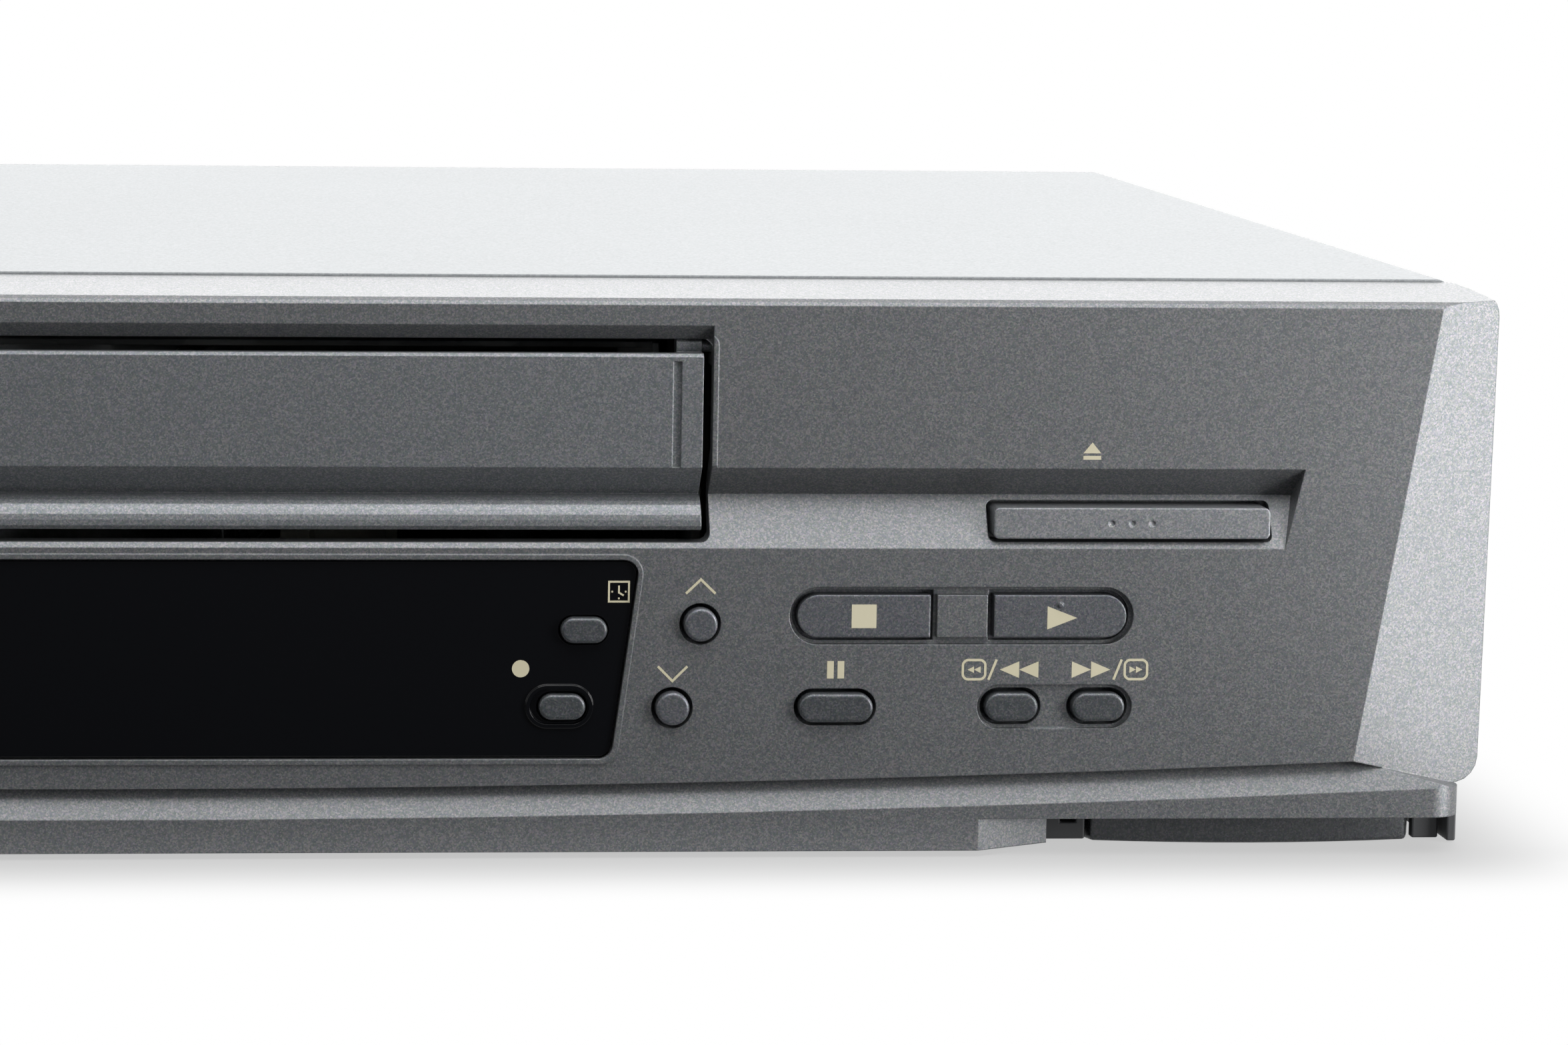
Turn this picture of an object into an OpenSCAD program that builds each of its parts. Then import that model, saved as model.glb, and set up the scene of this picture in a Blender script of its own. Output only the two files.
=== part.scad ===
// Domestic video cassette recorder with a front slot, its case and its tape deck.
// The machine faces -Y and stands on Z = 0. Depth is counted backwards from the front plane.

/* [Case] */
// Width across the moulded front panel
panel_w = 432; // [428:1:438]
// Depth of the moulded front panel, front plane to cover seam
panel_d = 19; // [18:0.5:21]
// Height of the front face's top edge
panel_top = 87.3; // [86.8:0.1:88]
// Height of the panel where the cover starts
seam_z = 89; // [88.5:0.1:89.2]
// Wall of the front panel
wall = 2.5; // [2:0.1:2.8]
// Width of the sheet cover
case_w = 425; // [422:1:426]
// Height of the cover
case_h = 89.4; // [89.3:0.1:92]
// Front plane to the cover's back edge
case_d = 286; // [284:1:296]
// Thickness of the cover sheet
sheet = 0.8; // [0.6:0.1:1]
// Rounding of the cover's folded edges
cover_r = 2; // [1.5:0.1:3]
// Height of the cover's lower side edges
cover_low = 9; // [8:0.5:11]
// Height of the base floor, which is the height of the feet
base_z = 6; // [5:0.5:6]
// Thickness of the base floor
base_t = 1.5; // [1.2:0.1:1.8]
// Gap between neighbours that do not move
gap = 0.3; // [0.2:0.05:0.4]
// Radial clearance of shafts that turn or slide
run_fit = 0.05; // [0.03:0.01:0.08]

/* [Front panel styling] */
// Half length of the long groove along its upper edge
groove_half = 185; // [183:1:188]
// Height of the groove's upper edge
groove_top = 61.2; // [60.5:0.1:62]
// Height of the groove's deepest line
groove_mid = 56.6; // [56:0.1:57]
// Height of the groove's lower edge
groove_low = 48.7; // [48:0.1:49]
// Depth of the groove
groove_in = 4.5; // [4:0.1:4.8]
// Lean of the groove's end walls, in degrees
groove_lean = 13; // [5:1:20]
// Half width of the flat front at the facets' top
facet_top_x = 206.3; // [204:0.5:208]
// Half width of the flat front at the facets' bottom
facet_low_x = 194; // [192:0.5:197]
// Height of the facets' inner bottom corner
facet_low_z = 15; // [14.5:0.1:15.5]
// Height of the facets' outer bottom corner
facet_out_z = 10.3; // [10:0.1:11]
// Turn of the facets away from the front, in degrees
facet_turn = 18.5; // [12:0.5:20]
// Radius of the long arc of the lower ledge
ledge_arc = 4850; // [4500:50:6000]
// Height of the ledge's crease at the middle
ledge_top = 11.1; // [10.8:0.1:11.5]
// Height of the ledge's lower edge at the middle
ledge_low = 6.2; // [6:0.1:6.6]
// Depth of the ledge's crease
ledge_in = 2.4; // [2:0.1:4]
// Half width of the lower skirt
skirt_half = 212; // [208:0.5:213]
// Half width of the skirt's deep middle part
deep_half = 134.7; // [125:1:145]
// Height of the deep part's lower edge
deep_low = 1; // [0.8:0.1:2]
// Depth of the solid bar behind the skirt
bar_d = 9; // [8:0.5:10]

/* [Cassette slot and flap] */
// Offset of the slot's middle from the machine's middle
slot_x = -8.7; // [-12:0.1:0]
// Width of the opening in the panel
slot_w = 201; // [201:0.5:203]
// Height of the opening's lower edge
slot_low = 49.5; // [49.3:0.1:49.8]
// Height of the opening's upper edge
slot_top = 81; // [80.8:0.1:81.5]
// Gap at each end of the flap
flap_side_gap = 1.5; // [1:0.1:1.6]
// Gap over the flap
flap_top_gap = 2.1; // [1.8:0.1:2.3]
// Gap under the flap
flap_low_gap = 2; // [1:0.1:2.3]
// Wall of the flap
flap_t = 2; // [1.6:0.1:2.2]
// Radius of the flap's hinge pins
flap_pin_r = 1; // [0.8:0.1:1.1]
// Depth of the hinge line
hinge_in = 4.2; // [4.2:0.1:4.6]
// Hinge line below the opening's upper edge
hinge_drop = 1.2; // [1:0.1:1.5]
// Width of the fine upright grooves on the flap
mark_w = 1.3; // [1:0.1:1.6]

/* [Display window] */
// Right end of the window's top edge
window_right = 80.7; // [79:0.1:81]
// Left end of the window's top edge
window_left = -98; // [-110:1:-90]
// How far each end leans in towards the bottom
window_lean = 4.2; // [2:0.1:5]
// Height of the window's lower edge
window_low = 16; // [15.5:0.1:17]
// Height of the window's upper edge
window_top = 46.6; // [46:0.1:47]
// Thickness of the window
window_t = 2; // [1.8:0.1:2.1]
// Corner rounding of the window
window_r = 2; // [1.5:0.1:2.5]

/* [Buttons] */
// How far a plain button stands out of the front plane
button_out = 1.5; // [1:0.1:2]
// Gap round a plain button
key_gap = 0.65; // [0.3:0.05:0.7]
// Travel of every button
key_travel = 0.8; // [0.5:0.1:1]
// Rim that holds a button behind its hole
key_rim = 1.3; // [1.2:0.1:1.5]
// Thickness of that rim
key_rim_t = 1.2; // [1:0.1:1.5]
// Thickness of a button's stem
key_stem = 3; // [2.5:0.1:3.5]
// Middle of the stop key
stop_x = 115.95; // [115.5:0.05:116.2]
// Middle of the play key
play_x = 146.8; // [146.5:0.05:147.2]
// Length of the stop and play keys
play_w = 20.8; // [20:0.1:21.6]
// Height of the stop and play keys
play_h = 6.6; // [6:0.1:7]
// Height of the stop and play keys over the table
play_z = 38.1; // [37:0.1:39]
// Depth of the shared recess of stop and play
play_recess = 1.2; // [0.8:0.1:1.5]
// Length of the fixed block between stop and play
bridge_w = 7.9; // [7:0.1:8.2]
// Middle of the pause key
pause_x = 111.7; // [109:0.1:115]
// Length of the pause key
pause_w = 11.6; // [10:0.1:13]
// Middle of the rewind key
rewind_x = 139.4; // [138:0.1:140]
// Middle of the forward key
forward_x = 153.1; // [152.5:0.1:155]
// Length of the rewind and forward keys
wind_w = 8.3; // [7.5:0.1:8.6]
// Height of the pause, rewind and forward keys
wind_h = 4.5; // [4:0.1:5]
// Height of these keys over the table
wind_z = 23.8; // [23:0.1:25]
// Radius of the channel buttons
channel_r = 2.6; // [2.2:0.1:2.8]
// Middle of the channel up button
up_x = 90.4; // [89.5:0.1:91]
// Height of the channel up button over the table
up_z = 36.85; // [36:0.05:38]
// Middle of the channel down button
down_x = 86.2; // [86:0.1:88]
// Height of the channel down button over the table
down_z = 23.7; // [23:0.1:25]
// Middle of the record button
record_x = 69.05; // [68:0.05:69.5]
// Height of the record button over the table
record_z = 23.9; // [23.5:0.1:25]
// Middle of the timer button
timer_x = 72.3; // [71:0.05:72.6]
// Height of the timer button over the table
timer_z = 35.9; // [35:0.1:37]
// Length of the record and timer buttons
record_w = 7.2; // [6.5:0.1:7.5]
// Height of the record and timer buttons
record_h = 4; // [3.5:0.1:4.2]
// Middle of the eject button
eject_x = 157.8; // [150:0.1:158]
// Length of the eject button
eject_w = 43.5; // [38:0.5:44]
// Height of the eject button
eject_h = 4.8; // [4.5:0.1:5]
// Height of the eject button over the table
eject_z = 52.7; // [52.4:0.1:52.9]
// Middle of the standby button
standby_x = -160; // [-170:1:-150]
// Length of the standby button
standby_w = 17; // [14:0.5:20]

/* [Cassette carriage] */
// Width of the cassette
cassette_w = 188; // [186:0.5:188.5]
// Height of the cassette
cassette_h = 25; // [24:0.1:25.2]
// Depth of the holder
holder_d = 50; // [46:1:54]
// Thickness of the holder sheet
holder_t = 1; // [0.8:0.1:1.2]
// Travel of the carriage into the machine
load_in = 59; // [50:1:62]
// Travel of the holder down to the reels
load_down = 22; // [18:0.5:22.5]
// Radius of the sliding pins
slide_pin_r = 1.5; // [1.2:0.1:1.7]
// Thickness of the runner plates
runner_t = 2; // [1.6:0.1:2.2]
// Thickness of the side brackets
bracket_t = 1.5; // [1.2:0.1:2]

/* [Tape deck] */
// Height of the deck plate's underside
deck_z = 24; // [23.5:0.1:24.3]
// Thickness of the deck plate
deck_t = 1.5; // [1.2:0.1:1.6]
// Half width of the deck plate
deck_half = 118; // [116:0.5:119]
// Front edge of the deck plate
deck_front = 28; // [26:0.5:30]
// Distance between the two reels
reel_pitch = 92; // [91:0.5:93]
// Radius of the reel tables
reel_r = 26; // [24:0.5:26.2]
// Radius of the reel spindles
spindle_r = 11; // [9:0.5:12]
// Radius of the head drum
drum_r = 31; // [30:0.5:31.5]
// Tilt of the head drum, in degrees
drum_tilt = 6; // [4:0.5:7]
// Radius of the flywheel
flywheel_r = 22; // [18:0.5:22.5]
// Radius of the capstan shaft
capstan_r = 1.5; // [1.2:0.1:2]
// Radius of the capstan's belt pulley
capstan_pulley_r = 7; // [6:0.5:9]
// Radius of the clutch's belt pulley
clutch_pulley_r = 14; // [12:0.5:16]
// Radius of the pinch roller
pinch_r = 8; // [7:0.1:8.2]
// Swing of the pinch arm, in degrees
pinch_swing = 20; // [15:1:21]
// Radius of the idler wheel
idler_r = 9; // [8:0.1:9.1]
// Length of the idler arm
idler_arm_l = 26; // [25:0.5:27]
// Module of the loading gears
gear_m = 1; // [0.9:0.05:1.05]
// Teeth of the cam gear
cam_teeth = 48; // [44:4:48]
// Teeth of the motor pinion
pinion_teeth = 12; // [12:2:14]
// Thickness of the boards
board_t = 1.6; // [1.2:0.1:1.8]
// Depth of the front board's face
front_board_d = 16; // [15.5:0.1:17]

/* [Back and feet] */
// Thickness of the rear panel
rear_t = 1.2; // [1:0.1:1.5]
// How far the aerial sockets stand out behind the cover
aerial_out = 7.5; // [6:0.5:10]
// Radius of the aerial sockets
aerial_r = 4.75; // [4.5:0.05:5]
// Width of a multi-pin video socket
scart_w = 47; // [46:0.5:48]
// Height of a multi-pin video socket
scart_h = 15; // [14:0.5:16]
// Radius of the phono sockets
phono_r = 4.15; // [4:0.05:4.5]
// Radius of the feet
foot_r = 27.5; // [26.5:0.5:28]
// Radius of the shallow arc that cuts each foot's outer side
foot_arc = 136; // [120:1:160]
// Distance from the base's sides in to the middle of the feet
foot_in = 30.8; // [29.4:0.1:32.4]
// Height of the base's lips beside the feet
lip_low = 0.3; // [0.3:0.1:1]

/* [Hidden] */
$fn = 48;
cut = 1;

// Places that the driving sizes give
front_y = button_out - (button_out + case_d + aerial_out) / 2;
floor_top = base_z + base_t;
tray_half = case_w / 2 - sheet - gap;
tray_wall = 1.5;
tray_wall_top = 24;
tray_front = bar_d + gap;
rear_d = case_d - 1 - rear_t;
hinge_z = slot_top - hinge_drop;
flap_w = slot_w - 2 * flap_side_gap;
flap_top = slot_top - flap_top_gap;
flap_low = slot_low + flap_low_gap;
switch_h = 5;
switch_d = front_board_d - switch_h;
stem_end = switch_d - key_travel - gap / 6;
button_back = wall + gap / 2;
window_front = gap;
window_back = window_front + window_t;

// The cassette carriage and what lies under it
holder_front = hinge_in + hinge_z - flap_low + 1.8;
holder_half = cassette_w / 2 + 1;
holder_floor = slot_low + 1;
holder_top = holder_floor + cassette_h + 0.7;
runner_gap = 1.5;
runner_in = holder_half + holder_t + runner_gap;
runner_out = runner_in + runner_t;
bracket_in = runner_out + runner_gap;
runner_front = holder_front + 2.5;
runner_len = 46;
runner_pin_z = 72;
runner_pin_d = [runner_front + 7, runner_front + runner_len - 7];
holder_pin_z = 64;
holder_pin_d = [runner_front + 14, runner_front + runner_len - 14];
mouth_d = holder_front + holder_d + load_in;

// The deck, with places counted from the cassette's mouth and the slot's middle
deck_top = deck_z + deck_t;
reel_d = mouth_d - 59.5;
wheel_z = deck_top + 0.5;
wheel_t = 2.2;
drum_d = mouth_d + 38.5;
deck_back = drum_d + 50;
capstan_x = 60;
capstan_d = mouth_d + 6.5;
fly_top = deck_z - 1.5;
fly_t = 6;
pulley_t = 3.5;
pulley_z = fly_top - fly_t - pulley_t;
capstan_top = 46.5;
clutch_d = mouth_d - 31.5;
clutch_wheel_r = idler_arm_l - idler_r - 0.2;
belt_t = 1;
belt_h = 2.5;
pinch_pivot = [84, mouth_d + 18.5];
contact_turn = 240;
contact_gap = 0.1;
contact = [capstan_x, capstan_d]
    + (capstan_r + pinch_r + contact_gap) * [cos(contact_turn), sin(contact_turn)];
pinch_reach = norm(contact - pinch_pivot);
pinch_turn = atan2(contact[1] - pinch_pivot[1], contact[0] - pinch_pivot[0]) + pinch_swing;
pinch_z = 31;
pinch_h = 16;
bearing_h = pinch_z - deck_top - 2;
pinch_arm_z = 48;
cam_r = gear_m * cam_teeth / 2;
pinion_r = gear_m * pinion_teeth / 2;
cam_place = [80, drum_d + 18];
mesh_turn = 135;
pinion_place = cam_place + (cam_r + pinion_r) * [cos(mesh_turn), sin(mesh_turn)];
gear_slack = 0.25;
track_start = [30, mouth_d - 11.5];
track_end = [41, mouth_d + 46.5];
keel_w = 4;
post_x = deck_half - 4.5;
post_d = [deck_front + 8, deck_back - 8];
deck_post_r = 4;
reel_post_r = 2;
pinch_post_r = 3;
cam_post_r = 3;

// Boards and the back
board_z = floor_top + 2;
board_top = board_z + board_t;
board_back = rear_d - gap - tray_wall - gap;
split_x = slot_x - deck_half - 3;
rear_socket_z = board_top + 10;
scart_x = [33, 90];
phono_x = [-100, -84, -68];
mains_x = -tray_half + 39.4;
mains_w = 26;
mains_h = 22;
tuner_x = tray_half - 38.4;
tuner_w = 46;
tuner_d = 56;
tuner_h = 42;
aerial_z = [board_top + 14, board_top + 30];
collar_r = aerial_r + 1.8;
collar_d = rear_d + rear_t + 0.5;
screw_r = 1.5;
screw_head_r = 3;
screw_head_h = 1.8;
side_screw_d = [60, case_d - 46];
side_screw_z = 17;
rear_screw_x = [-tray_half + 11.4, -30, 140];
foot_x = tray_half - foot_in;
foot_d = [tray_front + 13, case_d - 40];
foot_front = tray_front + gap;
lip_d = foot_front + 2.4;
lip_t = 2;
lip_out = panel_w / 2 - wall + 0.1;
track_len = norm(track_end - track_start);
drum_seat = 5;
drum_split = 24;
drum_gap = 0.6;
drum_top = 45;
drum_shaft_r = 3;
pinch_pin = pinch_pivot + pinch_reach * [cos(pinch_turn), sin(pinch_turn)];
tension_pivot = [-72, mouth_d - 21.5];
tension_tip = [-52, mouth_d - 3.5];
track_angle = atan2(track_end[1] - track_start[1], track_end[0] - track_start[0]);

// Colours
c_panel = [0.33, 0.345, 0.355];
c_panel_light = [0.42, 0.43, 0.44];
c_window = [0.03, 0.03, 0.04];
c_cover = [0.55, 0.56, 0.57];
c_black = [0.12, 0.12, 0.13];
c_steel = [0.72, 0.73, 0.74];
c_board = [0.45, 0.33, 0.14];
c_white = [0.9, 0.9, 0.87];

// Moves what is drawn from depth behind the front plane to the part's own frame
module placed() { translate([0, front_y, 0]) children(); }

// Extrudes an outline drawn in width and height from depth d0 to depth d1
module along_d(d0, d1) {
    translate([0, d1, 0]) rotate([90, 0, 0]) linear_extrude(height = d1 - d0) children();
}

// Extrudes an outline drawn in depth and height from x0 to x1
module along_x(x0, x1) {
    translate([x0, 0, 0]) rotate([90, 0, 90]) linear_extrude(height = x1 - x0) children();
}

// A block given by its lowest and highest corners
module block(low, high) { translate(low) cube(high - low); }

// A round pin along X
module pin_x(r, x0, x1, d, z) { translate([x0, d, z]) rotate([0, 90, 0]) cylinder(r = r, h = x1 - x0); }

// A round post on the deck, placed from the slot's middle
module post(r, x, d, z0, z1) { translate([slot_x + x, d, z0]) cylinder(r = r, h = z1 - z0); }

// Corner points of a polygon with each corner rounded by an arc
function unit(v) = v / norm(v);
function arc_corner(a, b, c, r, n) =
    let (u = unit(a - b), v = unit(c - b), half = acos(u * v) / 2,
        middle = b + unit(u + v) * r / sin(half), p = b + u * r / tan(half) - middle,
        turn = sign(u[0] * v[1] - u[1] * v[0]) * (180 - 2 * half))
    [for (i = [0:n])
        let (a = -turn * i / n)
        middle + [p[0] * cos(a) - p[1] * sin(a), p[0] * sin(a) + p[1] * cos(a)]];
function rounded(points, r, n = 6) =
    [for (i = [0:len(points) - 1])
        each arc_corner(points[(i + len(points) - 1) % len(points)], points[i],
            points[(i + 1) % len(points)], r, n)];

// An outline with round ends
module obround(w, h) {
    square([max(w - h, 0.01), h], center = true);
    for (side = [-1, 1]) translate([side * (w - h) / 2, 0]) circle(r = h / 2);
}

// A key outline that is round at one end and nearly square at the other
module half_round(w, h, round_side) {
    translate([-round_side * h / 4, 0]) square([w - h / 2, h], center = true);
    translate([round_side * (w - h) / 2, 0]) circle(r = h / 2);
}

// FRONT PANEL
// Space in front of a facet, pushed back by a wall's thickness for the inner side
module facet_cut(back, start) {
    lean = atan2(facet_top_x - facet_low_x, panel_top - facet_low_z);
    translate([facet_low_x, 0, facet_low_z])
        rotate([0, lean, 0]) rotate([0, 0, facet_turn])
            translate([start, back - 60, -60]) cube([80, 60, 200]);
}

module both_facets(back, start) {
    facet_cut(back, start);
    mirror([1, 0, 0]) facet_cut(back, start);
}

function ledge_z(x) = ledge_top + x * x / (2 * ledge_arc);

// Front outline of the panel's upper shell, with the long arc as its lower edge
module shell_outline() {
    half = panel_w / 2;
    top_z = seam_z + 2;
    steps = 24;
    corner_r = 4;
    right = arc_corner([facet_low_x, facet_low_z], [half, facet_out_z - 1], [half, 40],
        corner_r, 5);
    arc = [for (i = [0:steps])
        let (x = -facet_low_x + 2 * facet_low_x * i / steps)
        [x, ledge_z(x)]];
    polygon(concat(
        [for (p = right) [-p[0], p[1]]], [[-half, top_z], [half, top_z]],
        [for (i = [len(right) - 1:-1:0]) right[i]],
        [for (i = [len(arc) - 1:-1:0]) arc[i]]));
}

// Rounded shoulders of the panel, seen from the front
module shoulder_outline() {
    polygon(rounded([[-panel_w / 2, -10], [panel_w / 2, -10], [panel_w / 2, seam_z],
        [-panel_w / 2, seam_z]], 4));
}

module shell_section() {
    edge = 0.9;
    polygon([[0, ledge_top - 1], [bar_d, ledge_top - 1], [bar_d, 8], [panel_d, 8],
        [panel_d, seam_z], [edge * 1.4, panel_top + 0.1], [edge * 0.4, panel_top - 0.3],
        [0, panel_top - edge]]);
}

// Hollow behind the front wall, with a ridge that backs the long groove
module cavity_section() {
    back = groove_in + wall;
    polygon([[wall, 18], [wall, groove_low - 3.5], [back, groove_mid - 2.5],
        [back, groove_mid + 2], [wall, groove_top + 3], [wall, panel_top - wall],
        [panel_d + cut, seam_z - wall + 0.1], [panel_d + cut, -cut], [bar_d, -cut],
        [bar_d, 18]]);
}

module skirt() {
    ledge_rise = ledge_top - ledge_low - 0.2 * ledge_in;
    half = skirt_half;
    end_r = 5;
    difference() {
        translate([0, 0, base_z])
            linear_extrude(height = ledge_top + 6 - base_z)
                union() {
                    translate([-half + end_r, 0]) square([2 * (half - end_r), bar_d]);
                    translate([-half, end_r]) square([2 * half, bar_d - end_r]);
                    for (side = [-1, 1])
                        translate([side * (half - end_r), end_r]) circle(r = end_r);
                }
        // The sloping ledge is a slice of a very large cone
        translate([0, 0, ledge_low + ledge_arc]) rotate([-90, 0, 0])
            rotate([0, 0, 90 - 3])
                rotate_extrude(angle = 6, $fn = 1440)
                    polygon([[ledge_arc + ledge_rise / ledge_in, -1],
                        [ledge_arc - ledge_rise, ledge_in], [ledge_arc - 16, ledge_in],
                        [ledge_arc - 16, -1]]);
        // Nothing stands out in front of the facets
        intersection() {
            both_facets(0, 0);
            along_d(-10, bar_d + cut) shell_outline();
        }
    }
    // The deep middle part with slanted ends
    translate([0, 0, deep_low])
        linear_extrude(height = base_z + 0.05 - deep_low)
            polygon([[-deep_half, 0], [deep_half, 0], [deep_half + 12, 6],
                [deep_half + 12, bar_d - 0.5], [-deep_half - 12, bar_d - 0.5],
                [-deep_half - 12, 6]]);
}

module groove_cut() {
    low = groove_low - 0.05;
    slope = (groove_top - groove_mid) / groove_in;
    difference() {
        along_x(-panel_w, panel_w)
            polygon([[-cut, groove_top + slope * cut], [groove_in, groove_mid],
                [-cut, low - (groove_mid - low) / groove_in * cut]]);
        for (side = [-1, 1])
            translate([side * groove_half, 0, groove_top])
                rotate([0, side * groove_lean, 0])
                    translate([side > 0 ? 0 : -300, -20, -60]) cube([300, 60, 90]);
    }
}

module window_outline(grow) {
    polygon(rounded([
        [window_left + window_lean - grow, window_low - grow],
        [window_right - window_lean + grow, window_low - grow],
        [window_right + grow, window_top + grow],
        [window_left - grow, window_top + grow]], window_r + grow));
}

module slot_outline(grow) {
    translate([slot_x, 0])
        polygon(rounded([[-slot_w / 2 - grow, slot_low - grow],
            [slot_w / 2 + grow, slot_low - grow], [slot_w / 2 + grow, slot_top + grow],
            [-slot_w / 2 - grow, slot_top + grow]], 1.5));
}

// Fine raised lines round the slot and the window
module panel_lips() {
    lip = 0.8;
    lip_out = 0.35;
    along_d(-lip_out, wall) difference() {
        window_outline(gap + lip);
        window_outline(gap);
    }
    along_d(-lip_out, wall) difference() {
        slot_outline(lip);
        slot_outline(0);
    }
}

module key_holes() {
    back = wall + cut;
    through = groove_in + wall + cut;
    translate([up_x, 0, up_z]) along_d(-cut, back) circle(r = channel_r + key_gap);
    translate([down_x, 0, down_z]) along_d(-cut, back) circle(r = channel_r + key_gap);
    translate([(stop_x + play_x) / 2, 0, play_z])
        along_d(-cut, play_recess)
            obround(play_x - stop_x + play_w + 2.4, play_h + 2.4);
    translate([stop_x, 0, play_z]) along_d(-cut, back)
        half_round(play_w + 2 * key_gap, play_h + 2 * key_gap, -1);
    translate([play_x, 0, play_z]) along_d(-cut, back)
        half_round(play_w + 2 * key_gap, play_h + 2 * key_gap, 1);
    translate([pause_x, 0, wind_z]) along_d(-cut, back)
        obround(pause_w + 2 * key_gap, wind_h + 2 * key_gap);
    translate([(rewind_x + forward_x) / 2, 0, wind_z])
        along_d(-cut, 0.8) obround(forward_x - rewind_x + wind_w + 2.4, wind_h + 2.4);
    for (x = [rewind_x, forward_x])
        translate([x, 0, wind_z]) along_d(-cut, back)
            obround(wind_w + 2 * key_gap, wind_h + 2 * key_gap);
    translate([eject_x, 0, eject_z]) along_d(-cut, through)
        polygon(rounded([[-eject_w / 2 - key_gap, -eject_h / 2 - key_gap],
            [eject_w / 2 + key_gap, -eject_h / 2 - key_gap],
            [eject_w / 2 + key_gap, eject_h / 2 + key_gap],
            [-eject_w / 2 - key_gap, eject_h / 2 + key_gap]], 1));
    translate([standby_x, 0, play_z]) along_d(-cut, back)
        obround(standby_w + 2 * key_gap, play_h + 2 * key_gap);
}

module panel_body() {
    difference() {
        union() {
            difference() {
                intersection() {
                    along_x(-panel_w / 2, panel_w / 2) shell_section();
                    along_d(-cut, panel_d + cut) shell_outline();
                    along_d(-cut, panel_d + cut) shoulder_outline();
                }
                both_facets(0, 0);
            }
            skirt();
        }
        // The hollow keeps a full wall behind each facet
        difference() {
            along_x(-panel_w / 2 + wall, panel_w / 2 - wall) cavity_section();
            both_facets(wall, -20);
        }
    }
}

module front_panel() {
    color(c_panel) placed() {
        difference() {
            union() {
                panel_body();
                panel_lips();
                // Frame that carries the window from behind
                along_d(wall - 0.1, wall + 1.5) window_outline(1);
                // Ears with the flap's hinge holes
                for (side = [-1, 1])
                    translate([slot_x + side * (slot_w / 2 + 2), 0, 0])
                        block([-2, 1, hinge_z - 3], [2, hinge_in + 2.5, hinge_z + 2.5]);
                // Bosses that carry the front board
                for (x = [-190, -120, 103, 186])
                    translate([x, 0, 30]) along_d(wall - 0.1, front_board_d) circle(r = 3);
                translate([190, 0, 51]) along_d(wall - 0.1, front_board_d) circle(r = 2.5);
            }
            along_d(-cut, window_back + gap / 3) window_outline(gap);
            along_d(0, wall + 2) window_outline(-1.2);
            groove_cut();
            along_d(-cut, groove_in + wall + cut) slot_outline(0);
            // Bevel along the slot's upper edge
            translate([slot_x, 0, slot_top]) rotate([45, 0, 0])
                block([-slot_w / 2, -1.6, -1.6], [slot_w / 2, 1.6, 1.6]);
            for (side = [-1, 1])
                pin_x(flap_pin_r + run_fit, slot_x + side * (slot_w / 2 + 1.5) - 3,
                    slot_x + side * (slot_w / 2 + 1.5) + 3, hinge_in, hinge_z);
            key_holes();
        }
        // Fixed block between stop and play, as proud as the keys
        translate([(stop_x + play_x) / 2, 0, play_z])
            block([-bridge_w / 2, play_recess - button_out, -play_h / 2],
                [bridge_w / 2, play_recess + 0.1, play_h / 2]);
    }
}

// FLAP
module flap_section() {
    mid = groove_mid - flap_low;
    r = min(groove_in, mid);
    steps = 8;
    outer = concat([[0.5, flap_top], [0, flap_top - 0.5], [0, groove_top],
            [groove_in, groove_mid]],
        [for (i = [1:steps]) let (a = 90 * i / steps) [groove_in - r * sin(a),
            groove_mid - r + r * cos(a)]],
        [[groove_in - r + 0.3, flap_low]]);
    back = groove_in + flap_t;
    polygon(concat(outer, [[groove_in - r + flap_t + 0.6, flap_low], [back, groove_mid - 1.2],
        [back, groove_mid + 0.6], [flap_t, groove_top + 1], [flap_t, flap_top]]));
}

module cassette_flap() {
    color(c_panel) placed() translate([slot_x, 0, 0]) {
        difference() {
            union() {
                along_x(-flap_w / 2, flap_w / 2) flap_section();
                for (side = [-1, 1])
                    translate([side * (flap_w / 2 - 2), 0, 0])
                        block([-2, 0.5, hinge_z - 4], [2, hinge_in + 1, flap_top]);
                for (side = [-1, 1])
                    pin_x(flap_pin_r + 0.6, side * (flap_w / 2 - 2) - 2,
                        side * (flap_w / 2 - 2) + 2, hinge_in, hinge_z);
            }
            // Fine upright line near each end, as a groove in the face
            for (side = [-1, 1])
                translate([side * (flap_w / 2 - 4), 0, 0])
                    block([-mark_w / 2, -cut, groove_top], [mark_w / 2, 0.5, flap_top - 1.2]);
        }
        // The left pin is longer and carries the spring
        pin_x(flap_pin_r, flap_w / 2 - 1, slot_w / 2 + 3, hinge_in, hinge_z);
        pin_x(flap_pin_r, -slot_w / 2 - 8.5, 1 - flap_w / 2, hinge_in, hinge_z);
    }
}

// Small helper for wound wire: an unbroken helix as one swept tube
function helix_point(r, pitch, a) = [r * cos(a), r * sin(a), pitch * a / 360];
module wound_wire(r, wire, pitch, turns) {
    per_turn = 12;
    sides = 6;
    n = turns * per_turn;
    points = [for (i = [0:n]) let (a = 360 * i / per_turn) for (j = [0:sides - 1])
        let (b = 360 * j / sides)
        helix_point(r + wire * cos(b), pitch, a) + [0, 0, wire * sin(b)]];
    side_faces = [for (i = [0:n - 1]) for (j = [0:sides - 1]) for (half = [0, 1])
        let (k = (j + 1) % sides, p = i * sides, q = p + sides)
        half == 0 ? [p + j, p + k, q + j] : [p + k, q + k, q + j]];
    start = [for (j = [1:sides - 2]) [0, j + 1, j]];
    end = [for (j = [1:sides - 2]) [n * sides, n * sides + j, n * sides + j + 1]];
    polyhedron(points = points, faces = concat(side_faces, start, end), convexity = 10);
}

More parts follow.
